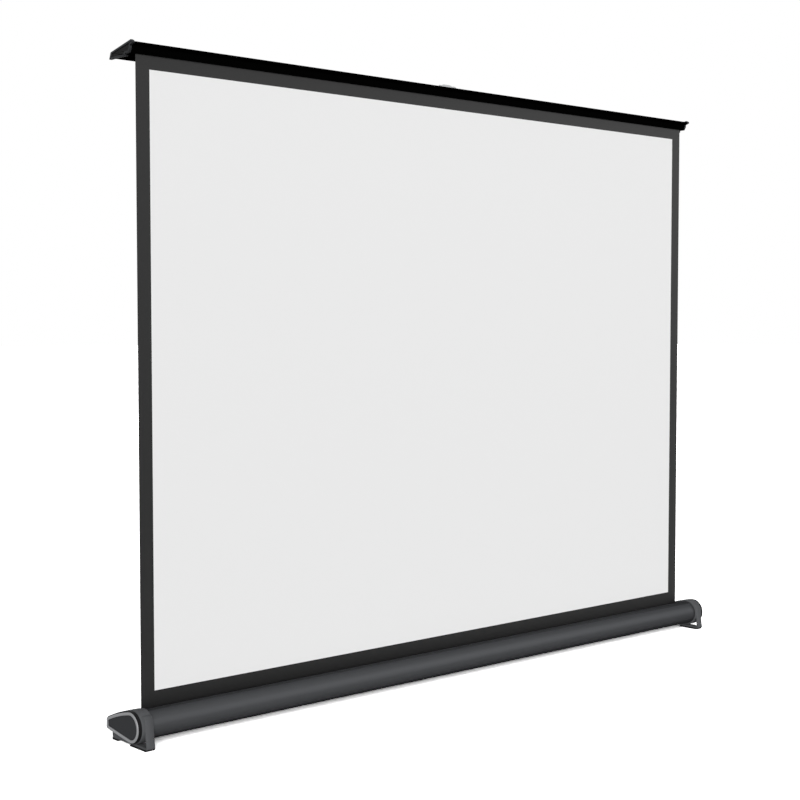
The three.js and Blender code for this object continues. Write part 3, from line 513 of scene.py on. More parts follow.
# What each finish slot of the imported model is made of
FINISH_MAKERS = {
    "housing_grey": dyed_anodising,
    "bar_black": black_coat,
    "plastic_dark": lambda c: moulded_plastic("Dark grey ABS", c.dark_plastic, rough=0.65, specular=0.06),
    "plastic_graphite": lambda c: moulded_plastic("Graphite ABS", c.graphite, rough=0.6, specular=0.1),
    # Black ABS is real on the end caps and plugs, and painted shade on the sheets in the bar caps' sunk
    # middles
    "plastic_black": lambda c: moulded_plastic("Black ABS", c.black_plastic_and_shade, rough=0.6, specular=0.1),
    "plastic_light": lambda c: moulded_plastic("Light grey ABS", c.light_plastic, rough=0.5, specular=0.4),
    "slip_plastic": lambda c: moulded_plastic("Natural nylon", c.nylon, rough=0.4, specular=0.5),
    "frame_grey": frame_paint,
    "pad_rubber": pad_rubber,
    "arm_steel": lambda c: zinc_plate("Dull zinc-plated steel", c.zinc, rough=0.45),
    "pin_steel": lambda c: zinc_plate("Bright zinc-plated steel", c.bright_zinc, rough=0.3),
    "tube_aluminium": mill_aluminium,
    "fabric_white": lambda c: coated_cloth(
        "Matt white coated cloth", c.white_cloth, contrast=0.012, rough=0.9, specular=0.2
    ),
    "fabric_black": lambda c: coated_cloth(
        "Black coated cloth", c.black_cloth, contrast=0.08, rough=0.5, specular=0.38
    ),
}
finishes = {}


def finish_for(slot):
    if slot not in finishes:
        finishes[slot] = FINISH_MAKERS[slot](bpy.context.scene.screen_finishes)
    return finishes[slot]


def link_mesh(name, mesh):
    obj = bpy.data.objects.new(name, mesh)
    bpy.context.scene.collection.objects.link(obj)
    return obj


def from_bmesh(name, bm):
    """A closed skin as an object, faces outwards."""
    bmesh.ops.recalc_face_normals(bm, faces=bm.faces[:])
    mesh = bpy.data.meshes.new(name)
    bm.to_mesh(mesh)
    bm.free()
    return link_mesh(name, mesh)


def settle(obj):
    """Turns an object's modifiers into its own plain mesh."""
    bpy.context.view_layer.update()
    graph = bpy.context.evaluated_depsgraph_get()
    made = bpy.data.meshes.new_from_object(
        obj.evaluated_get(graph), preserve_all_data_layers=True, depsgraph=graph
    )
    obj.modifiers.clear()
    obj.data = made
    return obj


def smooth(obj, degrees=32):
    """Smooth shading, sharp where the skin turns more than the angle."""
    obj.data.shade_smooth()
    obj.data.set_sharp_from_angle(angle=math.radians(degrees))
    return obj


def ease_edges(obj, width, segments=2, degrees=35):
    """Rounds an object's sharp edges."""
    smooth(obj)
    bevel = obj.modifiers.new("edges", "BEVEL")
    bevel.width = width
    bevel.segments = segments
    bevel.limit_method = "ANGLE"
    bevel.angle_limit = math.radians(degrees)
    bevel.use_clamp_overlap = True
    bevel.harden_normals = True
    return settle(obj)


def dress(obj, slot, body, *nodes):
    """Gives a piece its finish, lets it stand for its CAD nodes and puts it on its body."""
    obj.data.materials.clear()
    obj.data.materials.append(finish_for(slot))
    if nodes:
        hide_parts(*nodes)
    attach(obj, body)
    return obj


def stitch(bm, rows, joined):
    """Faces from row to row, where a row may be a single point; joined closes the last to the first."""
    pairs = list(zip(rows, rows[1:]))
    if joined:
        pairs.append((rows[-1], rows[0]))
    around = max(len(row) for row in rows)
    for low, high in pairs:
        for place in range(around):
            following = (place + 1) % around
            corners = [low[place % len(low)], low[following % len(low)]]
            corners += [high[following % len(high)], high[place % len(high)]]
            bm.faces.new(list(dict.fromkeys(corners)))


def skin(name, rings, joined=False):
    """A skin over rings of equal counts; joined closes it from the last ring to the first."""
    bm = bmesh.new()
    rows = [[bm.verts.new(point) for point in ring] for ring in rings]
    stitch(bm, rows, joined)
    if not joined:
        bm.faces.new(rows[0][::-1])
        bm.faces.new(rows[-1])
    return from_bmesh(name, bm)


PLACES = {
    "X": lambda w, u, v: (w, u, v),
    "Y": lambda w, u, v: (u, w, v),
}


def prism(name, outlines, start, end, way="X", digits=7):
    """Pushes flat outlines along an axis; outlines that share corners grow together."""
    bm = bmesh.new()
    known = {}
    for outline in outlines:
        corners = []
        for u, v in outline:
            key = (round(u, digits), round(v, digits))
            if key not in known:
                known[key] = bm.verts.new(PLACES[way](start, u, v))
            corners.append(known[key])
        bm.faces.new(corners)
    grown = bmesh.ops.extrude_face_region(bm, geom=bm.faces[:])
    moved = [part for part in grown["geom"] if isinstance(part, bmesh.types.BMVert)]
    bmesh.ops.translate(bm, verts=moved, vec=PLACES[way](end - start, 0, 0))
    return from_bmesh(name, bm)


def along_x(y, z):
    """The place of a piece that is turned about a line along X."""
    return Matrix.Translation((0, y, z)) @ Matrix.Rotation(math.pi / 2, 4, "Y")


def turned(name, profile, place, joined=False, sides=48):
    """Turns a profile of (radius, height) round Z, a radius of 0 as a point, and moves it to its place."""
    bm = bmesh.new()
    rows = []
    for radius, height in profile:
        turns = [2 * math.pi * side / sides for side in range(sides if radius else 1)]
        ring = [(radius * math.cos(turn), radius * math.sin(turn), height) for turn in turns]
        rows.append([bm.verts.new(place @ Vector(point)) for point in ring])
    stitch(bm, rows, joined)
    return smooth(from_bmesh(name, bm))


def arc(y, z, radius, start, sweep, steps):
    """Points along an arc round a centre, from a starting turn over a sweep."""
    turns = [start + sweep * step / steps for step in range(steps + 1)]
    return [(y + radius * math.cos(turn), z + radius * math.sin(turn)) for turn in turns]


def bent(start, corner, end, steps):
    """A smooth bend that leaves start towards a corner and comes to end from it."""
    points = []
    for step in range(steps + 1):
        along = step / steps
        points.append(tuple(start.lerp(corner, along).lerp(corner.lerp(end, along), along)))
    return points


def soften(points, radius, steps=4, straight=math.radians(175), most=0.48):
    """Rounds the corners of a closed flat outline, each over at most that share of its shorter side."""
    rounded = []
    for place, corner in enumerate(points):
        here = Vector(corner)
        back = Vector(points[place - 1]) - here
        ahead = Vector(points[(place + 1) % len(points)]) - here
        between = back.angle(ahead)
        if between > straight:
            rounded.append(tuple(here))
            continue
        cut = min(radius / math.tan(between / 2), min(back.length, ahead.length) * most)
        start = here + back.normalized() * cut
        rounded += bent(start, here, here + ahead.normalized() * cut, steps)
    return rounded


def take_out(piece, tool):
    """Cuts a tool's shape out of a piece and removes the tool."""
    hole = piece.modifiers.new("hole", "BOOLEAN")
    hole.object = tool
    hole.operation = "DIFFERENCE"
    hole.solver = "EXACT"
    settle(piece)
    bpy.data.objects.remove(tool)


def join_pieces(name, pieces):
    """Several closed skins as one object."""
    bm = bmesh.new()
    for piece in pieces:
        bm.from_mesh(piece.data)
        bpy.data.objects.remove(piece)
    return from_bmesh(name, bm)


def refine(node, width, apart=1e-6, flat=math.radians(1)):
    """A CAD node's own shape, its close corners and flat faces merged and its edges rounded."""
    source = frame["nodes"][node]
    bm = bmesh.new()
    bm.from_mesh(source.data)
    bmesh.ops.remove_doubles(bm, verts=bm.verts[:], dist=apart)
    bmesh.ops.dissolve_limit(bm, angle_limit=flat, verts=bm.verts[:], edges=bm.edges[:])
    return ease_edges(from_bmesh(f"{node}_dressed", bm), width)


def body_of(node):
    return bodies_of(frame["nodes"][node])[0]


def slot_of(node):
    for material in frame["record"]["materials"]:
        if node in material.get("nodes", []):
            return material["slot"]
    return frame["nodes"][node].data.materials[0].name


def carry_over(nodes, edge):
    """CAD nodes' own shapes with rounded edges, each in its own finish on its own body."""
    for node in nodes:
        dress(refine(node, edge), slot_of(node), body_of(node), node)


def teardrop_parts(sizes, grow, nose_steps=44, low_steps=10, high_steps=8, crown_steps=20):
    """The housing's outline in Y and Z, grown outwards, as its nose and underside, tail and crown."""
    span = Vector((sizes.tail_y - sizes.nose_y, sizes.tail_z - sizes.nose_z))
    slope = math.atan2(span.y, span.x)
    floor_tilt = slope + math.asin((sizes.nose_radius - sizes.tail_radius) / span.length)
    front_turn = math.pi / 2 - sizes.crown_front
    rear_turn = math.pi / 2 - sizes.crown_rear
    sweep = floor_tilt + math.pi * 1.5 - front_turn
    nose = arc(sizes.nose_y, sizes.nose_z, sizes.nose_radius + grow, front_turn, sweep, nose_steps)
    reach = sizes.tail_radius + grow
    corner = max(sizes.tail_corner + grow, sizes.lip_round / 2)
    flat = reach - corner
    drop = flat * (1 - math.sin(floor_tilt)) / math.cos(floor_tilt)
    rise = flat * (1 - math.cos(rear_turn)) / math.sin(rear_turn)
    low_turn = floor_tilt - math.pi / 2
    tail = arc(sizes.tail_y + flat, sizes.tail_z - drop, corner, low_turn, -low_turn, low_steps)
    tail += arc(sizes.tail_y + flat, sizes.tail_z + rise, corner, 0, rear_turn, high_steps)
    tail += arc(sizes.tail_y, sizes.tail_z, reach, rear_turn, 0, 1)[:1]
    front = Vector(nose[0])
    rear = Vector(tail[-1])
    front_fall = math.tan(sizes.crown_front)
    rear_fall = math.tan(sizes.crown_rear)
    crown_y = (rear.y - front.y + rear_fall * rear.x - front_fall * front.x) / (rear_fall - front_fall)
    peak = Vector((crown_y, front.y - front_fall * (crown_y - front.x)))
    return nose, tail, bent(rear, peak, front, crown_steps)[1:-1]


def teardrop(sizes, grow):
    """The housing's whole outline in Y and Z, grown outwards."""
    nose, tail, crown = teardrop_parts(sizes, grow)
    return nose + tail + crown


def height_at(path, y):
    """Height of a path, given as points that run in one direction, at a depth."""
    for (y0, z0), (y1, z1) in zip(path, path[1:]):
        if min(y0, y1) <= y <= max(y0, y1):
            return z0 + (z1 - z0) * (y - y0) / (y1 - y0)
    raise ValueError(f"the path does not reach {y}")


def open_wall(sizes, grow):
    """The outline from the front lip of the slot, round the nose and tail, to the channel's rear lip."""
    nose, tail, crown = teardrop_parts(sizes, grow)
    crown = [tail[-1], *crown, nose[0]]
    front = [point for point in crown if point[0] < sizes.slot_front]
    rear = [point for point in crown if point[0] > sizes.channel_rear]
    start = (sizes.slot_front, height_at(crown, sizes.slot_front))
    end = (sizes.channel_rear, height_at(crown, sizes.channel_rear))
    return [start, *front[:-1], *nose, *tail[:-1], *rear[1:], end]


class SCREEN_OT_housing(Operator):
    """Makes the extruded housing with its partition, channel floor and screw ports"""

    bl_idname = "screen.housing"
    bl_label = "Housing"

    def execute(self, context):
        sizes = context.scene.screen_housing
        low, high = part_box("housing_extrusion")
        outer = open_wall(sizes, 0)
        inner = open_wall(sizes, -sizes.wall)
        wall = prism("housing_wall", [outer + inner[::-1]], low.x, high.x)
        underside = [point for point in teardrop(sizes, -sizes.wall) if point[1] < sizes.nose_z][::-1]
        front_foot = height_at(underside, sizes.partition_front) - sizes.bite
        rear_foot = height_at(underside, sizes.partition_rear) - sizes.bite
        tail = sizes.tail_y + sizes.tail_radius - sizes.wall + sizes.bite
        web_corners = [
            (sizes.partition_front, front_foot),
            (sizes.partition_front, sizes.partition_top),
            (sizes.partition_rear, sizes.partition_top),
            (sizes.partition_rear, sizes.floor_top),
            (tail, sizes.floor_top),
            (tail, sizes.floor_bottom),
            (sizes.partition_rear, sizes.floor_bottom),
            (sizes.partition_rear, rear_foot),
        ]
        web = prism("housing_web", [web_corners], low.x, high.x)
        ports = []
        for name, boss in (("nose", sizes.nose_boss), ("tail", sizes.tail_boss)):
            head_low, head_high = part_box(f"cap_screw_{name}_right")
            middle = (head_low + head_high) / 2
            place = along_x(middle.y, middle.z)
            profile = [(sizes.port_bore, low.x), (boss, low.x), (boss, high.x), (sizes.port_bore, high.x)]
            ports.append(turned(f"housing_port_{name}", profile, place, joined=True, sides=24))
        housing = join_pieces("housing_extrusion_dressed", [wall, web, *ports])
        ease_edges(housing, sizes.lip_round)
        dress(housing, "housing_grey", "base", "housing_extrusion")
        carry_over(("rear_fence", "slot_guide"), sizes.lip_round)
        return {"FINISHED"}


def rim_rows(outer, inner, near, far, radius):
    """Rows of (grow, x) round a frame's section, its outer edges rounded."""
    return soften([(inner, near), (outer, near), (outer, far), (inner, far)], radius)


def edge_rows(grow, x, radius, way, middle=0.3):
    """Rows of (grow, x) from a side to the flat at x, over an edge whose round has one middle point."""
    inwards = way * radius
    return [(grow, x - inwards), (grow - radius * middle, x - inwards * middle), (grow - radius, x)]


def lofted(name, sizes, rows, side, joined):
    """A skin over the housing's outline, grown and set along X as each row of (grow, x) says."""
    rings = [[(side * x, y, z) for y, z in teardrop(sizes, grow)] for grow, x in rows]
    return smooth(skin(name, rings, joined))


class SCREEN_OT_end_caps(Operator):
    """Makes both end caps, their light frames and their inlays"""

    bl_idname = "screen.end_caps"
    bl_label = "End caps"

    def execute(self, context):
        sizes = context.scene.screen_housing
        cap_low, cap_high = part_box("end_cap_right")
        ring_low, ring_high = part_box("end_ring_right")
        inlay_low, inlay_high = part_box("end_inlay_right")
        proud = sizes.cap_proud
        edge = sizes.cap_round
        plate_rows = edge_rows(proud, cap_low.x, edge, -1)[::-1] + edge_rows(proud, cap_high.x, edge, 1)
        skirt_end = cap_low.x - sizes.cap_skirt
        skirt_rows = rim_rows(proud, sizes.skirt_gap, skirt_end, cap_low.x + edge, edge)
        outer = proud - sizes.frame_inset
        inner = outer - sizes.frame_width
        ring_rows = rim_rows(outer, inner, ring_low.x, ring_high.x, sizes.frame_round)
        grow = inner - sizes.inlay_gap
        inlay_rows = [
            (grow, inlay_low.x),
            *edge_rows(grow, inlay_high.x, sizes.inlay_round, 1),
            (grow - sizes.inlay_margin, inlay_high.x),
        ]
        for side_name, side in SIDES:
            plate = lofted(f"end_cap_{side_name}_plate", sizes, plate_rows, side, False)
            skirt = lofted(f"end_cap_{side_name}_skirt", sizes, skirt_rows, side, True)
            cap = smooth(join_pieces(f"end_cap_{side_name}_dressed", [plate, skirt]))
            dress(cap, "plastic_black", "base", f"end_cap_{side_name}")
            ring = lofted(f"end_ring_{side_name}_dressed", sizes, ring_rows, side, True)
            dress(ring, "frame_grey", "base", f"end_ring_{side_name}")
            inlay = lofted(f"end_inlay_{side_name}_dressed", sizes, inlay_rows, side, False)
            dress(inlay, "plastic_graphite", "base", f"end_inlay_{side_name}")
        return {"FINISHED"}


def leg_outline(sizes, foot, bend_steps=6):
    """The leg's outline in Y and Z, from the top of its front round the toe and heel to the collar."""
    outer = foot.collar_gap + foot.collar_wall
    nose_reach = sizes.nose_radius + outer
    top = sizes.nose_z + foot.leg_top
    shoulder = math.asin(min(1.0, foot.leg_top / nose_reach))
    shoulder_y = sizes.nose_y - nose_reach + foot.shoulder_inset
    shoulder_z = sizes.nose_z + foot.shoulder_rise
    toe = sizes.nose_y - nose_reach - foot.toe_reach
    heel = sizes.tail_y + sizes.tail_radius + outer - foot.heel_inset
    start = Vector((sizes.nose_y - nose_reach * math.cos(shoulder), top))
    corner = Vector((shoulder_y + foot.leg_thickness / 2, top))
    front = bent(start, corner, Vector((shoulder_y, shoulder_z)), bend_steps)
    fall = (shoulder_y - toe) / (shoulder_z - foot.sole)

    def leg_rear(z):
        return (toe + foot.leg_thickness + fall * (z - foot.sole), z)

    gap_top = sizes.nose_z - foot.gap_drop
    gap_rear = sizes.nose_y + foot.gap_reach
    nose, tail, _ = teardrop_parts(sizes, foot.collar_gap + foot.collar_wall / 2)
    half = len(nose) // 2
    upper = [p for p in nose[:half] if p[1] > gap_top + foot.leg_thickness and p[0] < start.x]
    under = [p for p in nose[half:] + tail if p[0] > gap_rear and p[1] < sizes.tail_z]
    base = [
        (toe, foot.sole + foot.leg_thickness / 2),
        (toe + foot.leg_thickness / 4, foot.sole + foot.leg_thickness / 8),
        (toe + foot.leg_thickness / 2, foot.sole),
        (heel, foot.sole),
        (heel, sizes.tail_z - foot.heel_drop),
    ]
    gap = [
        (gap_rear, foot.sole + foot.gap_rear),
        leg_rear(foot.sole + foot.gap_bottom),
        leg_rear(gap_top),
    ]
    return front + base + under[::-1] + gap + upper[::-1]


class SCREEN_OT_feet(Operator):
    """Makes both feet: a collar round the housing with a leg to the front and a heel"""

    bl_idname = "screen.feet"
    bl_label = "Feet"

    def execute(self, context):
        sizes = context.scene.screen_housing
        foot = context.scene.screen_feet
        low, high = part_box("foot_right")
        leg_low = low.x + foot.leg_inset
        leg_high = leg_low + foot.leg_width
        outline = leg_outline(sizes, foot)
        outer = foot.collar_gap + foot.collar_wall
        end = high.x - sizes.cap_skirt - sizes.skirt_gap
        rows = rim_rows(outer, foot.collar_gap, low.x, end, foot.collar_round)
        for side_name, side in SIDES:
            collar = lofted(f"collar_{side_name}", sizes, rows, side, True)
            leg = prism(f"leg_{side_name}", [outline], side * leg_low, side * leg_high)
            ease_edges(leg, foot.edge_round)
            piece = smooth(join_pieces(f"foot_{side_name}_dressed", [collar, leg]))
            dress(piece, "plastic_dark", "base", f"foot_{side_name}")
        return {"FINISHED"}


def new_growth(name, lengths, **others):
    """A geometry tree with named inputs, lengths and others, and what its input node hands out."""
    tree = bpy.data.node_groups.new(name, "GeometryNodeTree")
    tree.interface.new_socket("Geometry", in_out="INPUT", socket_type="NodeSocketGeometry")
    tree.interface.new_socket("Geometry", in_out="OUTPUT", socket_type="NodeSocketGeometry")
    kinds = {**dict.fromkeys(lengths, "NodeSocketFloat"), **others}
    for size, kind in kinds.items():
        tree.interface.new_socket(size, in_out="INPUT", socket_type=kind)
    return tree, add_node(tree, "NodeGroupInput").outputs


def close_growth(tree, geometry, slot):
    """Ends a geometry tree: instances made real, then the finish."""
    real = add_node(tree, "GeometryNodeRealizeInstances", {"Geometry": geometry})
    finish = {"Geometry": real.outputs["Geometry"], "Material": finish_for(slot)}
    dressed = add_node(tree, "GeometryNodeSetMaterial", finish)
    add_node(tree, "NodeGroupOutput", {"Geometry": dressed.outputs["Geometry"]})


def grow(name, tree, values, start=None):
    """Runs a geometry tree on a start mesh and keeps the result as a plain mesh."""
    obj = link_mesh(name, start or bpy.data.meshes.new(name))
    growth = obj.modifiers.new("growth", "NODES")
    growth.node_group = tree
    for socket in tree.interface.items_tree:
        if socket.in_out == "INPUT" and socket.name in values:
            growth[socket.identifier] = values[socket.name]
    return settle(obj)


def rib_tree():
    """Round ribs in a row along Y, half sunk in the underside of a rubber slab."""
    lengths = ("Pitch", "Radius", "Width")
    tree, given = new_growth("Ribbed pad", lengths, Ribs="NodeSocketInt", First="NodeSocketVector")
    step = add_node(tree, "ShaderNodeCombineXYZ", {"Y": given["Pitch"]})
    line = {"Count": given["Ribs"], "Start Location": given["First"], "Offset": step.outputs[0]}
    row = add_node(tree, "GeometryNodeMeshLine", line)
    rod = {"Vertices": 12, "Radius": given["Radius"], "Depth": given["Width"]}
    rib = add_node(tree, "GeometryNodeMeshCylinder", rod)
    turn = {"Geometry": rib.outputs["Mesh"], "Rotation": (0, math.pi / 2, 0)}
    laid = add_node(tree, "GeometryNodeTransform", turn)
    on_row = {"Points": row.outputs["Mesh"], "Instance": laid.outputs["Geometry"]}
    ribs = add_node(tree, "GeometryNodeInstanceOnPoints", on_row)
    both = add_node(tree, "GeometryNodeJoinGeometry")
    tree.links.new(given["Geometry"], both.inputs[0])
    tree.links.new(ribs.outputs["Instances"], both.inputs[0])
    close_growth(tree, both.outputs[0], "pad_rubber")
    return tree


class SCREEN_OT_pads(Operator):
    """Makes the four ribbed rubber pads under the feet"""

    bl_idname = "screen.pads"
    bl_label = "Rubber pads"

    def execute(self, context):
        foot = context.scene.screen_feet
        tree = rib_tree()
        for node in [f"{place}_pad_{side_name}" for place in ("toe", "heel") for side_name, _ in SIDES]:
            low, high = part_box(node)
            depth = high.y - low.y
            underside = foot.rib_radius
            corners = [(low.y, underside), (high.y, underside), (high.y, high.z), (low.y, high.z)]
            slab = prism(node, [soften(corners, foot.rib_radius)], low.x, high.x)
            ease_edges(slab, foot.rib_radius / 2)
            ribs = int(depth / foot.rib_pitch)
            spare = (depth - (ribs - 1) * foot.rib_pitch) / 2
            values = {
                "Ribs": ribs,
                "Pitch": foot.rib_pitch,
                "Radius": foot.rib_radius,
                "Width": high.x - low.x,
                "First": Vector(((low.x + high.x) / 2, low.y + spare, underside)),
            }
            mesh = slab.data
            bpy.data.objects.remove(slab)
            piece = smooth(grow(f"{node}_dressed", tree, values, mesh))
            dress(piece, "pad_rubber", "base", node)
        return {"FINISHED"}


def divisions(reach, other, usual, narrow=0.25, least=2):
    """Into how many parts a cloth's side is divided: few if it is far shorter than the other."""
    return usual if reach > other * narrow else least


def flat_cloth(name, node, columns, rows, inset):
    """A closed thin cloth in a CAD cloth's box, with a map in metres."""
    low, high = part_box(node)
    margin = (high.y - low.y) * inset
    bm = bmesh.new()
    mapped = bm.loops.layers.uv.new("cloth")
    sheets = []
    for depth in (low.y + margin, high.y - margin):
        grid = []
        for row in range(rows + 1):
            z = low.z + (high.z - low.z) * row / rows
            across = [low.x + (high.x - low.x) * column / columns for column in range(columns + 1)]
            grid.append([bm.verts.new((x, depth, z)) for x in across])
        sheets.append(grid)
    front, rear = sheets
    for row in range(rows):
        for column in range(columns):
            corners = ((row, column), (row, column + 1), (row + 1, column + 1), (row + 1, column))
            bm.faces.new([front[r][c] for r, c in corners])
            bm.faces.new([rear[r][c] for r, c in corners[::-1]])
    rim = [(0, c) for c in range(columns)]
    rim += [(r, columns) for r in range(rows)]
    rim += [(rows, c) for c in range(columns, 0, -1)]
    rim += [(r, 0) for r in range(rows, 0, -1)]
    for place, (r, c) in enumerate(rim):
        r2, c2 = rim[(place + 1) % len(rim)]
        bm.faces.new((front[r2][c2], front[r][c], rear[r][c], rear[r2][c2]))
    for face in bm.faces:
        for loop in face.loops:
            loop[mapped].uv = (loop.vert.co.x, loop.vert.co.z)
    return from_bmesh(name, bm)


class SCREEN_OT_fabric(Operator):
    """Makes the white picture field and the four black borders"""

    bl_idname = "screen.fabric"
    bl_label = "Fabric"

    def execute(self, context):
        sizes = context.scene.screen_fabric
        for node in ("viewing_surface", "border_left", "border_right", "border_top", "border_bottom"):
            low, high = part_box(node)
            width = high.x - low.x
            height = high.z - low.z
            columns = divisions(width, height, sizes.columns)
            rows = divisions(height, width, sizes.rows)
            cloth = flat_cloth(f"{node}_cloth", node, columns, rows, sizes.inset)
            slot = "fabric_white" if node == "viewing_surface" else "fabric_black"
            dress(cloth, slot, "base", node)
            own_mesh(cloth)
        return {"FINISHED"}


def lay_sweep(tree, curve, profile, place, slot):
    """Ends a tree with a profile swept along a curve round Z and laid along X at its place."""
    sweep = {"Curve": curve, "Profile Curve": profile, "Fill Caps": True}
    swept = add_node(tree, "GeometryNodeCurveToMesh", sweep)
    turn = {"Geometry": swept.outputs["Mesh"], "Rotation": (0, math.pi / 2, 0), "Translation": place}
    laid = add_node(tree, "GeometryNodeTransform", turn)
    close_growth(tree, laid.outputs["Geometry"], slot)
    return tree


def wound_tree():
    """A cloth wound in a spiral round the local Z axis, then laid along X."""
    lengths = ("Turns", "Inner", "Outer", "Cloth", "Width")
    tree, given = new_growth("Wound cloth", lengths, Axis="NodeSocketVector")
    winding = {
        "Resolution": 48,
        "Rotations": given["Turns"],
        "Start Radius": given["Inner"],
        "End Radius": given["Outer"],
        "Height": 0.0,
    }
    spiral = add_node(tree, "GeometryNodeCurveSpiral", winding).outputs["Curve"]
    upright = add_node(tree, "GeometryNodeSetCurveNormal", {"Curve": spiral}, mode="Z_UP")
    edges = {"Width": given["Cloth"], "Height": given["Width"]}
    section = add_node(tree, "GeometryNodeCurvePrimitiveQuadrilateral", edges).outputs["Curve"]
    return lay_sweep(tree, upright.outputs["Curve"], section, given["Axis"], "fabric_black")


def coil_tree():
    """A close coil of wire along X."""
    lengths = ("Turns", "Radius", "Wire", "Length")
    tree, given = new_growth("Wire coil", lengths, Start="NodeSocketVector")
    winding = {
        "Resolution": 24,
        "Rotations": given["Turns"],
        "Start Radius": given["Radius"],
        "End Radius": given["Radius"],
        "Height": given["Length"],
    }
    helix = add_node(tree, "GeometryNodeCurveSpiral", winding).outputs["Curve"]
    half = add_node(tree, "ShaderNodeMath", {0: given["Wire"], 1: 0.5}, operation="MULTIPLY")
    circle = {"Resolution": 8, "Radius": half.outputs[0]}
    wire = add_node(tree, "GeometryNodeCurvePrimitiveCircle", circle).outputs["Curve"]
    return lay_sweep(tree, helix, wire, given["Start"], "pin_steel")


def close_seams(obj, apart=1e-7):
    """Merges a grown mesh's seams and turns its faces outwards."""
    bm = bmesh.new()
    bm.from_mesh(obj.data)
    bmesh.ops.remove_doubles(bm, verts=bm.verts[:], dist=apart)
    bmesh.ops.recalc_face_normals(bm, faces=bm.faces[:])
    bm.to_mesh(obj.data)
    bm.free()
    return obj


class SCREEN_OT_roller(Operator):
    """Makes the roller: tube, wound fabric, plugs, spring, arbor and brackets"""

    bl_idname = "screen.roller"
    bl_label = "Roller"

    def execute(self, context):
        sizes = context.scene.screen_fabric
        axis = Vector((0, sizes.roller_y, sizes.roller_z))
        low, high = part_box("roller_tube")
        outer = (high.z - low.z) / 2
        inner = outer - sizes.tube_wall
        profile = [(inner, low.x), (outer, low.x), (outer, high.x), (inner, high.x)]
        tube = turned("roller_tube_dressed", profile, along_x(axis.y, axis.z), joined=True)
        dress(tube, "tube_aluminium", "roller", "roller_tube")
        self.roll(sizes, axis, outer)
        self.spring(sizes, axis)
        nodes = ["roller_plug_left", "roller_plug_right", "spring_arbor"]
        nodes += ["roller_bracket_left", "roller_bracket_right"]
        nodes += [f"cap_screw_{end}_{side_name}" for end in ("nose", "tail") for side_name, _ in SIDES]
        carry_over(nodes, context.scene.screen_housing.lip_round)
        return {"FINISHED"}

    def roll(self, sizes, axis, tube_radius):
        """The spare turns of fabric, with some slack round the tube."""
        low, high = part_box("fabric_roll")
        outer = (high.z - low.z) / 2
        slack = (outer - tube_radius) / 3
        values = {
            "Turns": sizes.turns,
            "Inner": tube_radius + slack + sizes.cloth / 2,
            "Outer": outer - sizes.cloth / 2,
            "Cloth": sizes.cloth,
            "Width": high.x - low.x,
            "Axis": axis,
        }
        both = values["Inner"] + values["Outer"]
        roll = close_seams(grow("fabric_roll_cloth", wound_tree(), values))
        self.map_roll(roll, axis, both / 2)
        smooth(roll)
        dress(roll, "fabric_black", "roller", "fabric_roll")

    def spring(self, sizes, axis):
        low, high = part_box("roller_spring")
        run = high.x - low.x - sizes.wire
        values = {
            "Turns": run / sizes.coil_pitch,
            "Radius": (high.z - low.z - sizes.wire) / 2,
            "Wire": sizes.wire,
            "Length": run,
            "Start": Vector((low.x + sizes.wire / 2, axis.y, axis.z)),
        }
        spring = smooth(close_seams(grow("roller_spring_dressed", coil_tree(), values)))
        dress(spring, "pin_steel", "base", "roller_spring")

    def map_roll(self, roll, axis, radius):
        """Gives the wound cloth a map in metres, along its width and round the roller."""
        mapped = roll.data.uv_layers.new(name="cloth")
        for loop in roll.data.loops:
            point = roll.data.vertices[loop.vertex_index].co
            turn = math.atan2(point.z - axis.z, point.y - axis.y)
            mapped.data[loop.index].uv = (point.x, radius * turn)


def bar_fall(bar):
    """How far the bar's top falls per depth."""
    return (bar.top_rise - bar.rear_rise) / (bar.top_rear - bar.top_front)


def bar_top_at(bar, y):
    """Height of the bar's sloping top at a depth."""
    return bar.edge_z + bar.top_rise - bar_fall(bar) * (y - bar.top_front)


def deck(bar, handle, x=0):
    """A place on the bar's sloping top, x along the bar, that handle and button stand square to."""
    place = Matrix.Translation((0, handle.deck_y, bar_top_at(bar, handle.deck_y)))
    tilt = math.atan(bar_fall(bar))
    return place @ Matrix.Rotation(-tilt, 4, "X") @ Matrix.Translation((x, 0, 0))


def bar_outline(bar, bore_steps=32, lip_steps=10):
    """The top bar's section in Y and Z, with the bore and slit for the spline."""
    half = bar.slit / 2
    opening = math.asin(half / bar.spline_bore)
    bore_start = math.pi * 1.5 - opening
    sweep = 2 * opening - 2 * math.pi
    spline_z = bar.edge_z + bar.spline_rise
    foot = bar.edge_z - bar.rear_drop
    skin_drop = bar.wall / math.cos(math.atan(bar_fall(bar)))
    inner_rear = bar.top_rear - bar.wall
    points = [(bar.front_edge, bar.edge_z), (bar.cloth_middle - half, bar.edge_z)]
    points += arc(bar.cloth_middle, spline_z, bar.spline_bore, bore_start, sweep, bore_steps)
    points += [
        (bar.cloth_middle + half, bar.edge_z),
        (bar.boss_rear, bar.edge_z),
        (bar.boss_rear, bar_top_at(bar, bar.boss_rear) - skin_drop),
        (inner_rear, bar_top_at(bar, inner_rear) - skin_drop),
        (bar.rear_foot - 2 * bar.wall, foot + bar.wall),
        (bar.rear_foot - bar.lip, foot + bar.wall),
        (bar.rear_foot - bar.lip, foot),
        (bar.rear_foot, foot),
        (bar.top_rear, bar_top_at(bar, bar.top_rear)),
    ]
    start = Vector((bar.top_front, bar_top_at(bar, bar.top_front)))
    corner = Vector((bar.nose, bar.edge_z + bar.top_rise))
    points += bent(start, corner, Vector((bar.nose, bar.edge_z + bar.nose_rise)), lip_steps)
    return [*points, (bar.face, bar.edge_z + bar.face_top), (bar.face, bar.edge_z + bar.face_foot)]


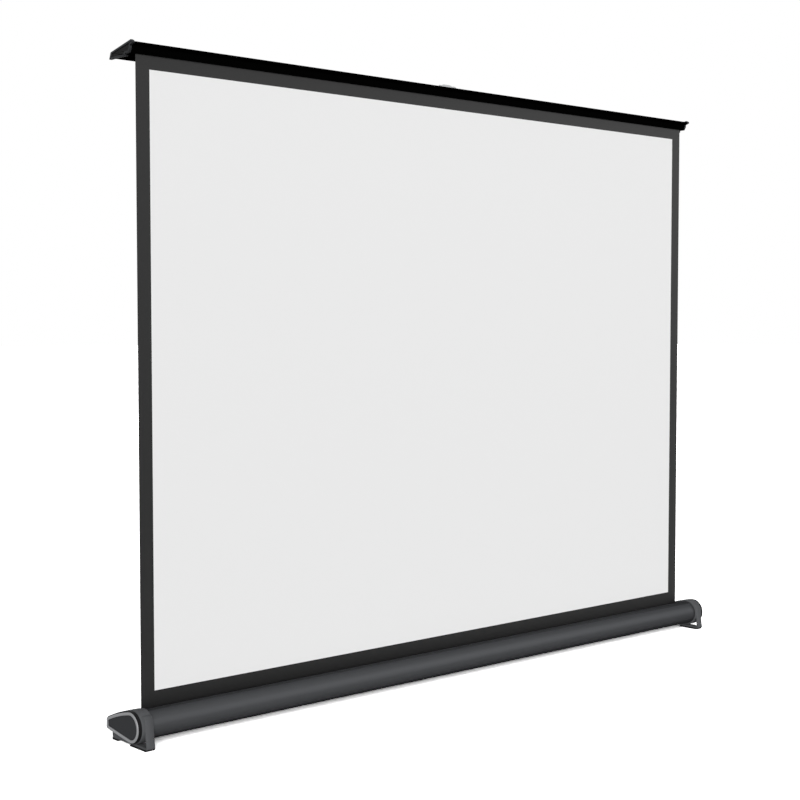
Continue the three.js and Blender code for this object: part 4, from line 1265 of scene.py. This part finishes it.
class SCREEN_OT_top_bar(Operator):
    """Makes the top bar, the spline that holds the fabric, and both bar caps"""

    bl_idname = "screen.top_bar"
    bl_label = "Top bar"

    def execute(self, context):
        bar = context.scene.screen_bar
        handle = context.scene.screen_handle
        low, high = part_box("top_bar")
        body = prism("top_bar_dressed", [bar_outline(bar)], low.x, high.x)
        ease_edges(body, bar.edge_round)
        reach = bar.well * 2
        profile = [(0, -reach), (bar.well, -reach), (bar.well, reach), (0, reach)]
        take_out(body, turned("button_well", profile, deck(bar, handle, handle.button_x), sides=32))
        dress(body, "bar_black", "top", "top_bar")
        self.spline()
        for side_name, side in SIDES:
            self.cap(side_name, side, bar)
        return {"FINISHED"}

    def spline(self, sides=24):
        low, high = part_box("top_spline")
        middle = (low + high) / 2
        radius = (high.z - low.z) / 2
        edge = radius / 4
        profile = [(0, low.x), (radius - edge, low.x), (radius, low.x + edge)]
        profile += [(radius, high.x - edge), (radius - edge, high.x), (0, high.x)]
        spline = turned("top_spline_dressed", profile, along_x(middle.y, middle.z), sides=sides)
        dress(spline, "slip_plastic", "top", "top_spline")

    def cap(self, side_name, side, bar, outwards=0.9):
        """A bar cap: a plate with a sunk middle, a thin black sheet in it as painted shade of the recess,
        and a tongue into the bar.
        """
        node = f"top_bar_cap_{side_name}"
        low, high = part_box("top_bar_cap_right")
        top = bar.edge_z + bar.top_rise
        foot = bar.rear_foot + bar.cap_rear
        rear = bar.top_rear + bar.cap_rear
        outline = [
            (bar.front_edge, bar.edge_z),
            (bar.cap_step, bar.edge_z),
            (bar.cap_step, bar.edge_z - bar.cap_drop),
            (foot, bar.edge_z - bar.cap_drop),
            (foot, bar.edge_z - bar.rear_drop),
            (rear, bar_top_at(bar, rear) + bar.cap_proud),
            (bar.top_front, top + bar.cap_proud),
            (bar.nose, top),
            (bar.nose, bar.edge_z + bar.nose_rise),
            (bar.face, bar.edge_z + bar.face_top),
            (bar.face, bar.edge_z + bar.face_foot),
        ]
        near = high.x - bar.cap_plate
        outline = soften(outline, bar.cap_round, steps=2)
        plate = prism(f"{node}_plate", [outline], side * near, side * high.x)
        bm = bmesh.new()
        bm.from_mesh(plate.data)
        bpy.data.objects.remove(plate)
        outer = [face for face in bm.faces if face.normal.x * side > outwards]
        bmesh.ops.inset_region(bm, faces=outer, thickness=bar.cap_rim)
        bmesh.ops.inset_region(bm, faces=outer, thickness=bar.cap_sink / 4, depth=-bar.cap_sink)
        shade_sheet_corners = [(vert.co.y, vert.co.z) for vert in outer[0].verts]
        plate = ease_edges(from_bmesh(f"{node}_plate", bm), bar.edge_round / 2)
        # A thin black sheet on the sunk floor: painted shade that darkens the recess
        shade_sheet_low = side * (high.x - bar.cap_sink - bar.cap_shade_sheet / 2)
        shade_sheet = prism(f"{node}_panel", [shade_sheet_corners], shade_sheet_low, shade_sheet_low + side * bar.cap_shade_sheet)
        dress(smooth(shade_sheet), "plastic_black", "top")
        tongue_corners = [
            (bar.tongue_front, bar.edge_z - bar.tongue_drop),
            (bar.tongue_rear, bar.edge_z - bar.tongue_drop),
            (bar.tongue_rear, bar.edge_z + bar.tongue_rise),
            (bar.tongue_front, bar.edge_z + bar.tongue_rise),
        ]
        root = near + bar.cap_plate / 2
        tongue = prism(f"{node}_tongue", [tongue_corners], side * low.x, side * root)
        ease_edges(tongue, bar.edge_round)
        dress(smooth(join_pieces(f"{node}_dressed", [plate, tongue])), "plastic_graphite", "top", node)


def bored_strip(start, end, radius, bores, steps=12):
    """A round-ended strip with bores, as two halves that share its middle line."""
    along = (end - start).normalized()
    up = Vector((-along.y, along.x))
    quarter = math.pi / 2
    edge = [(-radius, 0.0)]
    for place, bore in bores:
        edge += arc(place, 0, bore, math.pi, -math.pi, steps)
    edge += arc((end - start).length, 0, radius, 0, quarter, steps)
    edge += arc(0, 0, radius, quarter, quarter, steps)[:-1]
    return [[tuple(start + along * u + up * sign * v) for u, v in edge] for sign in (1, -1)]


class SCREEN_OT_arms(Operator):
    """Makes the four scissor arms"""

    bl_idname = "screen.arms"
    bl_label = "Scissor arms"

    def execute(self, context):
        sizes = context.scene.screen_scissor
        radius = sizes.arm_width / 2
        slim_ends = {"arm_a_lower": 0, "arm_b_lower": 2, "arm_b_upper": 0, "arm_a_upper": 2}
        for node, slim_end in slim_ends.items():
            low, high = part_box(node)
            ends = [low.z + radius, high.z - radius]
            left_z, right_z = ends if "_a_" in node else ends[::-1]
            start = Vector((low.x + radius, left_z))
            end = Vector((high.x - radius, right_z))
            bores = []
            for place in range(3):
                bore = sizes.slim_bore if place == slim_end else sizes.bore
                bores.append(((end - start).length * place / 2, bore))
            halves = bored_strip(start, end, radius, bores)
            arm = prism(f"{node}_dressed", halves, low.y, high.y, "Y")
            ease_edges(arm, sizes.arm_round)
            dress(arm, "arm_steel", body_of(node), node)
        return {"FINISHED"}


def dome_tree():
    """A low dome on each point of a mesh, its top along Y."""
    tree, given = new_growth("Domed heads", ("Radius", "Dome"))
    flat = {"X": given["Radius"], "Y": given["Dome"], "Z": given["Radius"]}
    scale = add_node(tree, "ShaderNodeCombineXYZ", flat)
    ball = add_node(tree, "GeometryNodeMeshUVSphere", {"Segments": 32, "Rings": 12, "Radius": 1.0})
    press = {"Geometry": ball.outputs["Mesh"], "Scale": scale.outputs[0]}
    dome = add_node(tree, "GeometryNodeTransform", press)
    on_points = {"Points": given["Geometry"], "Instance": dome.outputs["Geometry"]}
    heads = add_node(tree, "GeometryNodeInstanceOnPoints", on_points)
    close_growth(tree, heads.outputs["Instances"], "pin_steel")
    return tree


class SCREEN_OT_pins(Operator):
    """Makes the scissor's cross pins, knee pins, pivot pins and slide pins"""

    bl_idname = "screen.pins"
    bl_label = "Pins"

    def execute(self, context):
        sizes = context.scene.screen_scissor
        domes = {}
        for node in ("cross_pin_lower", "cross_pin_upper", "knee_pin_left", "knee_pin_right"):
            low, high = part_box(node)
            middle = (low + high) / 2
            head = (high.x - low.x) / 2
            rest = low.y + sizes.dome
            neck = low.y + sizes.head_height
            washer = middle.y - sizes.head_height / 3
            front = [(0, rest), (head, rest), (head, neck)]
            front += [(sizes.pin, neck), (sizes.pin, washer), (head, washer)]
            rear = [(radius, 2 * middle.y - depth) for radius, depth in reversed(front)]
            dress(self.pin(node, front + rear, middle), "pin_steel", body_of(node), node)
            points = domes.setdefault(body_of(node), [])
            points += [(middle.x, rest, middle.z), (middle.x, high.y - sizes.dome, middle.z)]
            dome_radius = head
        tree = dome_tree()
        for body, points in domes.items():
            start = bpy.data.meshes.new(f"pin_domes_{body}")
            start.from_pydata(points, [], [])
            values = {"Radius": dome_radius, "Dome": sizes.dome}
            dress(smooth(grow(f"pin_domes_{body}", tree, values, start)), "pin_steel", body)
        rear_headed = ("base_pivot_pin", "top_slide_pin")
        for node in ("base_pivot_pin", "base_slide_pin", "top_pivot_pin", "top_slide_pin"):
            low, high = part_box(node)
            middle = (low + high) / 2
            head = (high.x - low.x) / 2
            near, far = (high.y, low.y) if node in rear_headed else (low.y, high.y)
            into = 1 if far > near else -1
            neck = near + into * sizes.head_height
            chamfer = into * sizes.dome / 2
            profile = [
                (0, near),
                (head - sizes.dome / 2, near),
                (head, near + chamfer),
                (head, neck),
                (sizes.slim_pin, neck),
                (sizes.slim_pin, far - chamfer),
                (sizes.slim_pin - sizes.dome / 2, far),
                (0, far),
            ]
            dress(self.pin(node, profile, middle), "pin_steel", body_of(node), node)
        return {"FINISHED"}

    def pin(self, node, profile, middle):
        """A pin turned about an axis along Y; its heights are depths."""
        place = Matrix.Translation((middle.x, 0, middle.z)) @ Matrix.Rotation(-math.pi / 2, 4, "X")
        return turned(f"{node}_dressed", profile, place)


class SCREEN_OT_brackets(Operator):
    """Makes the scissor's brackets, tracks and shoes"""

    bl_idname = "screen.brackets"
    bl_label = "Brackets, tracks and shoes"

    def execute(self, context):
        nodes = ("base_bracket", "top_bracket", "base_track", "top_track", "base_shoe", "top_shoe")
        carry_over(nodes, context.scene.screen_scissor.plate_round)
        return {"FINISHED"}


class SCREEN_OT_handle(Operator):
    """Makes the lift handle, its ears and pin, and the release button with its collar"""

    bl_idname = "screen.handle"
    bl_label = "Handle and button"

    def execute(self, context):
        sizes = context.scene.screen_handle
        bar = context.scene.screen_bar
        handle = self.bail(sizes, deck(bar, sizes))
        dress(handle, "plastic_light", "lift_handle", "handle")
        carry_over(("handle_ear_left", "handle_ear_right", "handle_pin"), sizes.ear_round)
        place = deck(bar, sizes, sizes.button_x)
        self.button(sizes, place)
        corners = [
            (sizes.collar_bore, sizes.collar_foot),
            (sizes.collar_radius, sizes.collar_foot),
            (sizes.collar_radius, sizes.collar_top),
            (sizes.collar_bore, sizes.collar_top),
        ]
        collar = turned("button_collar_dressed", soften(corners, sizes.collar_round), place, joined=True)
        dress(collar, "plastic_light", "top", "button_collar")
        return {"FINISHED"}

    def button(self, sizes, place, dome_steps=10):
        """The release button: a flanged stem under a domed head."""
        profile = [
            (0, -sizes.flange_bottom),
            (sizes.flange, -sizes.flange_bottom),
            (sizes.flange, -sizes.flange_top),
            (sizes.stem, -sizes.flange_top),
            (sizes.stem, sizes.button_foot),
            (sizes.button_radius, sizes.button_foot),
        ]
        shoulder = sizes.button_height - sizes.button_dome
        for step in range(dome_steps):
            turn = math.pi / 2 * step / dome_steps
            radius = sizes.button_radius * math.cos(turn)
            profile.append((radius, shoulder + sizes.button_dome * math.sin(turn)))
        profile.append((0, sizes.button_height))
        button = turned("release_button_dressed", profile, place)
        dress(button, "plastic_light", "button", "release_button")

    def bail(self, sizes, place, bend_steps=8):
        """The handle: an arch with a long flat crown, a finger opening and a bore for its pin."""
        left = sizes.handle_x
        right = left + sizes.handle_width
        half = sizes.handle_depth / 2
        foot = Vector((left, sizes.handle_shoulder))
        knee = Vector((left + sizes.handle_bend / 3, sizes.handle_top))
        crown = Vector((left + sizes.handle_bend, sizes.handle_top))
        rise = bent(foot, knee, crown, bend_steps)
        fall = [(left + right - x, z) for x, z in reversed(rise)]
        outline = [(right, sizes.handle_foot), (left, sizes.handle_foot), *rise, *fall]
        arch = prism("handle_dressed", [outline], -half, half, "Y")
        rear = half - sizes.finger_rear
        reach = sizes.handle_top * 2
        low = (left + right - sizes.finger_width) / 2
        high = low + sizes.finger_width
        corners = [(low, -reach), (high, -reach), (high, reach), (low, reach)]
        take_out(arch, prism("finger_opening", [corners], rear - sizes.finger_depth, rear, "Y"))
        start = left - sizes.handle_round
        end = right + sizes.handle_round
        profile = [(0, start), (sizes.hinge_bore, start), (sizes.hinge_bore, end), (0, end)]
        hinge = along_x(sizes.hinge_inset - half, sizes.hinge_height)
        take_out(arch, turned("hinge_bore", profile, hinge, sides=24))
        arch.data.transform(place)
        return ease_edges(arch, sizes.handle_round)


class SCREEN_OT_stage(Operator):
    """Makes the pale floor, the soft light and the camera"""

    bl_idname = "screen.stage"
    bl_label = "Floor, light and camera"

    def execute(self, context):
        sizes = context.scene.screen_stage
        self.floor(sizes)
        self.sky(context.scene, sizes)
        self.lamp("soft lamp", sizes.lamp, sizes.lamp_width, sizes.lamp_rise, sizes.lamp_turn)
        self.lamp("side lamp", sizes.side_lamp, sizes.side_width, sizes.side_rise, sizes.side_turn)
        self.camera(context.scene, sizes)
        context.scene.view_settings.view_transform = "Standard"
        return {"FINISHED"}

    def seen_directly(self, tree):
        """1 for rays from the camera, from a gloss or through something clear, else 0."""
        path = add_node(tree, "ShaderNodeLightPath").outputs
        either = {0: path["Is Camera Ray"], 1: path["Is Glossy Ray"]}
        first = add_node(tree, "ShaderNodeMath", either, operation="MAXIMUM")
        either = {0: first.outputs[0], 1: path["Is Transmission Ray"]}
        return add_node(tree, "ShaderNodeMath", either, operation="MAXIMUM").outputs[0]

    def floor(self, sizes):
        """A floor that the camera and gloss see white, and that hands on light as plain grey."""
        reach = sizes.floor
        mesh = bpy.data.meshes.new("floor")
        corners = [(-reach, -reach, 0), (reach, -reach, 0), (reach, reach, 0), (-reach, reach, 0)]
        mesh.from_pydata(corners, [], [(0, 1, 2, 3)])
        floor = link_mesh("floor", mesh)
        material, tree = blank_finish("Pale matt floor")
        matt = add_node(tree, "ShaderNodeBsdfDiffuse", {"Color": sizes.floor_tone}).outputs[0]
        white = add_node(tree, "ShaderNodeBsdfDiffuse", {"Color": (1.0, 1.0, 1.0, 1.0)}).outputs[0]
        twice = add_node(tree, "ShaderNodeAddShader", {0: white, 1: white}).outputs[0]
        bright = add_node(tree, "ShaderNodeAddShader", {0: twice, 1: twice}).outputs[0]
        choice = {0: self.seen_directly(tree), 1: matt, 2: white}
        mirrored = add_node(tree, "ShaderNodeMixShader", choice).outputs[0]
        path = add_node(tree, "ShaderNodeLightPath").outputs
        choice = {0: path["Is Camera Ray"], 1: mirrored, 2: bright}
        shown = add_node(tree, "ShaderNodeMixShader", choice)
        add_node(tree, "ShaderNodeOutputMaterial", {"Surface": shown.outputs[0]})
        mesh.materials.append(material)

    def sky(self, scene, sizes):
        """Soft light from all round, seen as plain white."""
        world = bpy.data.worlds.new("Soft white room")
        scene.world = world
        world.use_nodes = True
        tree = world.node_tree
        tree.nodes.clear()
        level = {"Value": self.seen_directly(tree), "To Min": sizes.sky, "To Max": 1.0}
        strength = add_node(tree, "ShaderNodeMapRange", level).outputs[0]
        light = {"Strength": strength, "Color": (1.0, 1.0, 1.0, 1.0)}
        back = add_node(tree, "ShaderNodeBackground", light)
        add_node(tree, "ShaderNodeOutputWorld", {"Surface": back.outputs[0]})

    def lamp(self, name, strength, width, rise, turn):
        light = bpy.data.lights.new(name, "SUN")
        light.angle = width
        light.energy = strength
        lamp = bpy.data.objects.new(name, light)
        lamp.rotation_euler = (math.pi / 2 - rise, 0, -turn)
        bpy.context.scene.collection.objects.link(lamp)

    def camera(self, scene, sizes):
        data = bpy.data.cameras.new("camera")
        data.lens = sizes.lens
        data.sensor_width = sizes.sensor
        data.clip_end = sizes.camera_reach
        camera = bpy.data.objects.new("camera", data)
        camera.location = sizes.camera_place
        camera.rotation_euler = (math.pi / 2 - sizes.camera_dip, 0, -sizes.camera_turn)
        scene.collection.objects.link(camera)
        scene.camera = camera


class SCREEN_PT_pieces(Panel):
    """Lists the pieces of the screen"""

    bl_idname = "SCREEN_PT_pieces"
    bl_label = "Projector screen"
    bl_space_type = "VIEW_3D"
    bl_region_type = "UI"
    bl_category = "Screen"

    def draw(self, context):
        for operator in OPERATORS:
            self.layout.operator(operator.bl_idname)


OPERATORS = (
    SCREEN_OT_stage,
    SCREEN_OT_housing,
    SCREEN_OT_end_caps,
    SCREEN_OT_feet,
    SCREEN_OT_pads,
    SCREEN_OT_fabric,
    SCREEN_OT_roller,
    SCREEN_OT_top_bar,
    SCREEN_OT_arms,
    SCREEN_OT_pins,
    SCREEN_OT_brackets,
    SCREEN_OT_handle,
)
GROUPS = {
    "screen_housing": HousingSizes,
    "screen_feet": FootSizes,
    "screen_fabric": FabricSizes,
    "screen_bar": BarSizes,
    "screen_scissor": ScissorSizes,
    "screen_handle": HandleSizes,
    "screen_finishes": Finishes,
    "screen_stage": StageSizes,
}


def register():
    for name, group in GROUPS.items():
        bpy.utils.register_class(group)
        setattr(bpy.types.Scene, name, PointerProperty(type=group))
    for item in (*OPERATORS, SCREEN_PT_pieces):
        bpy.utils.register_class(item)


def unregister():
    for item in (SCREEN_PT_pieces, *reversed(OPERATORS)):
        bpy.utils.unregister_class(item)
    for name, group in reversed(GROUPS.items()):
        delattr(bpy.types.Scene, name)
        bpy.utils.unregister_class(group)


def main():
    register()
    for operator in OPERATORS:
        piece = operator.bl_idname.split(".")[1]
        getattr(bpy.ops.screen, piece)()


if __name__ == "__main__":
    main()
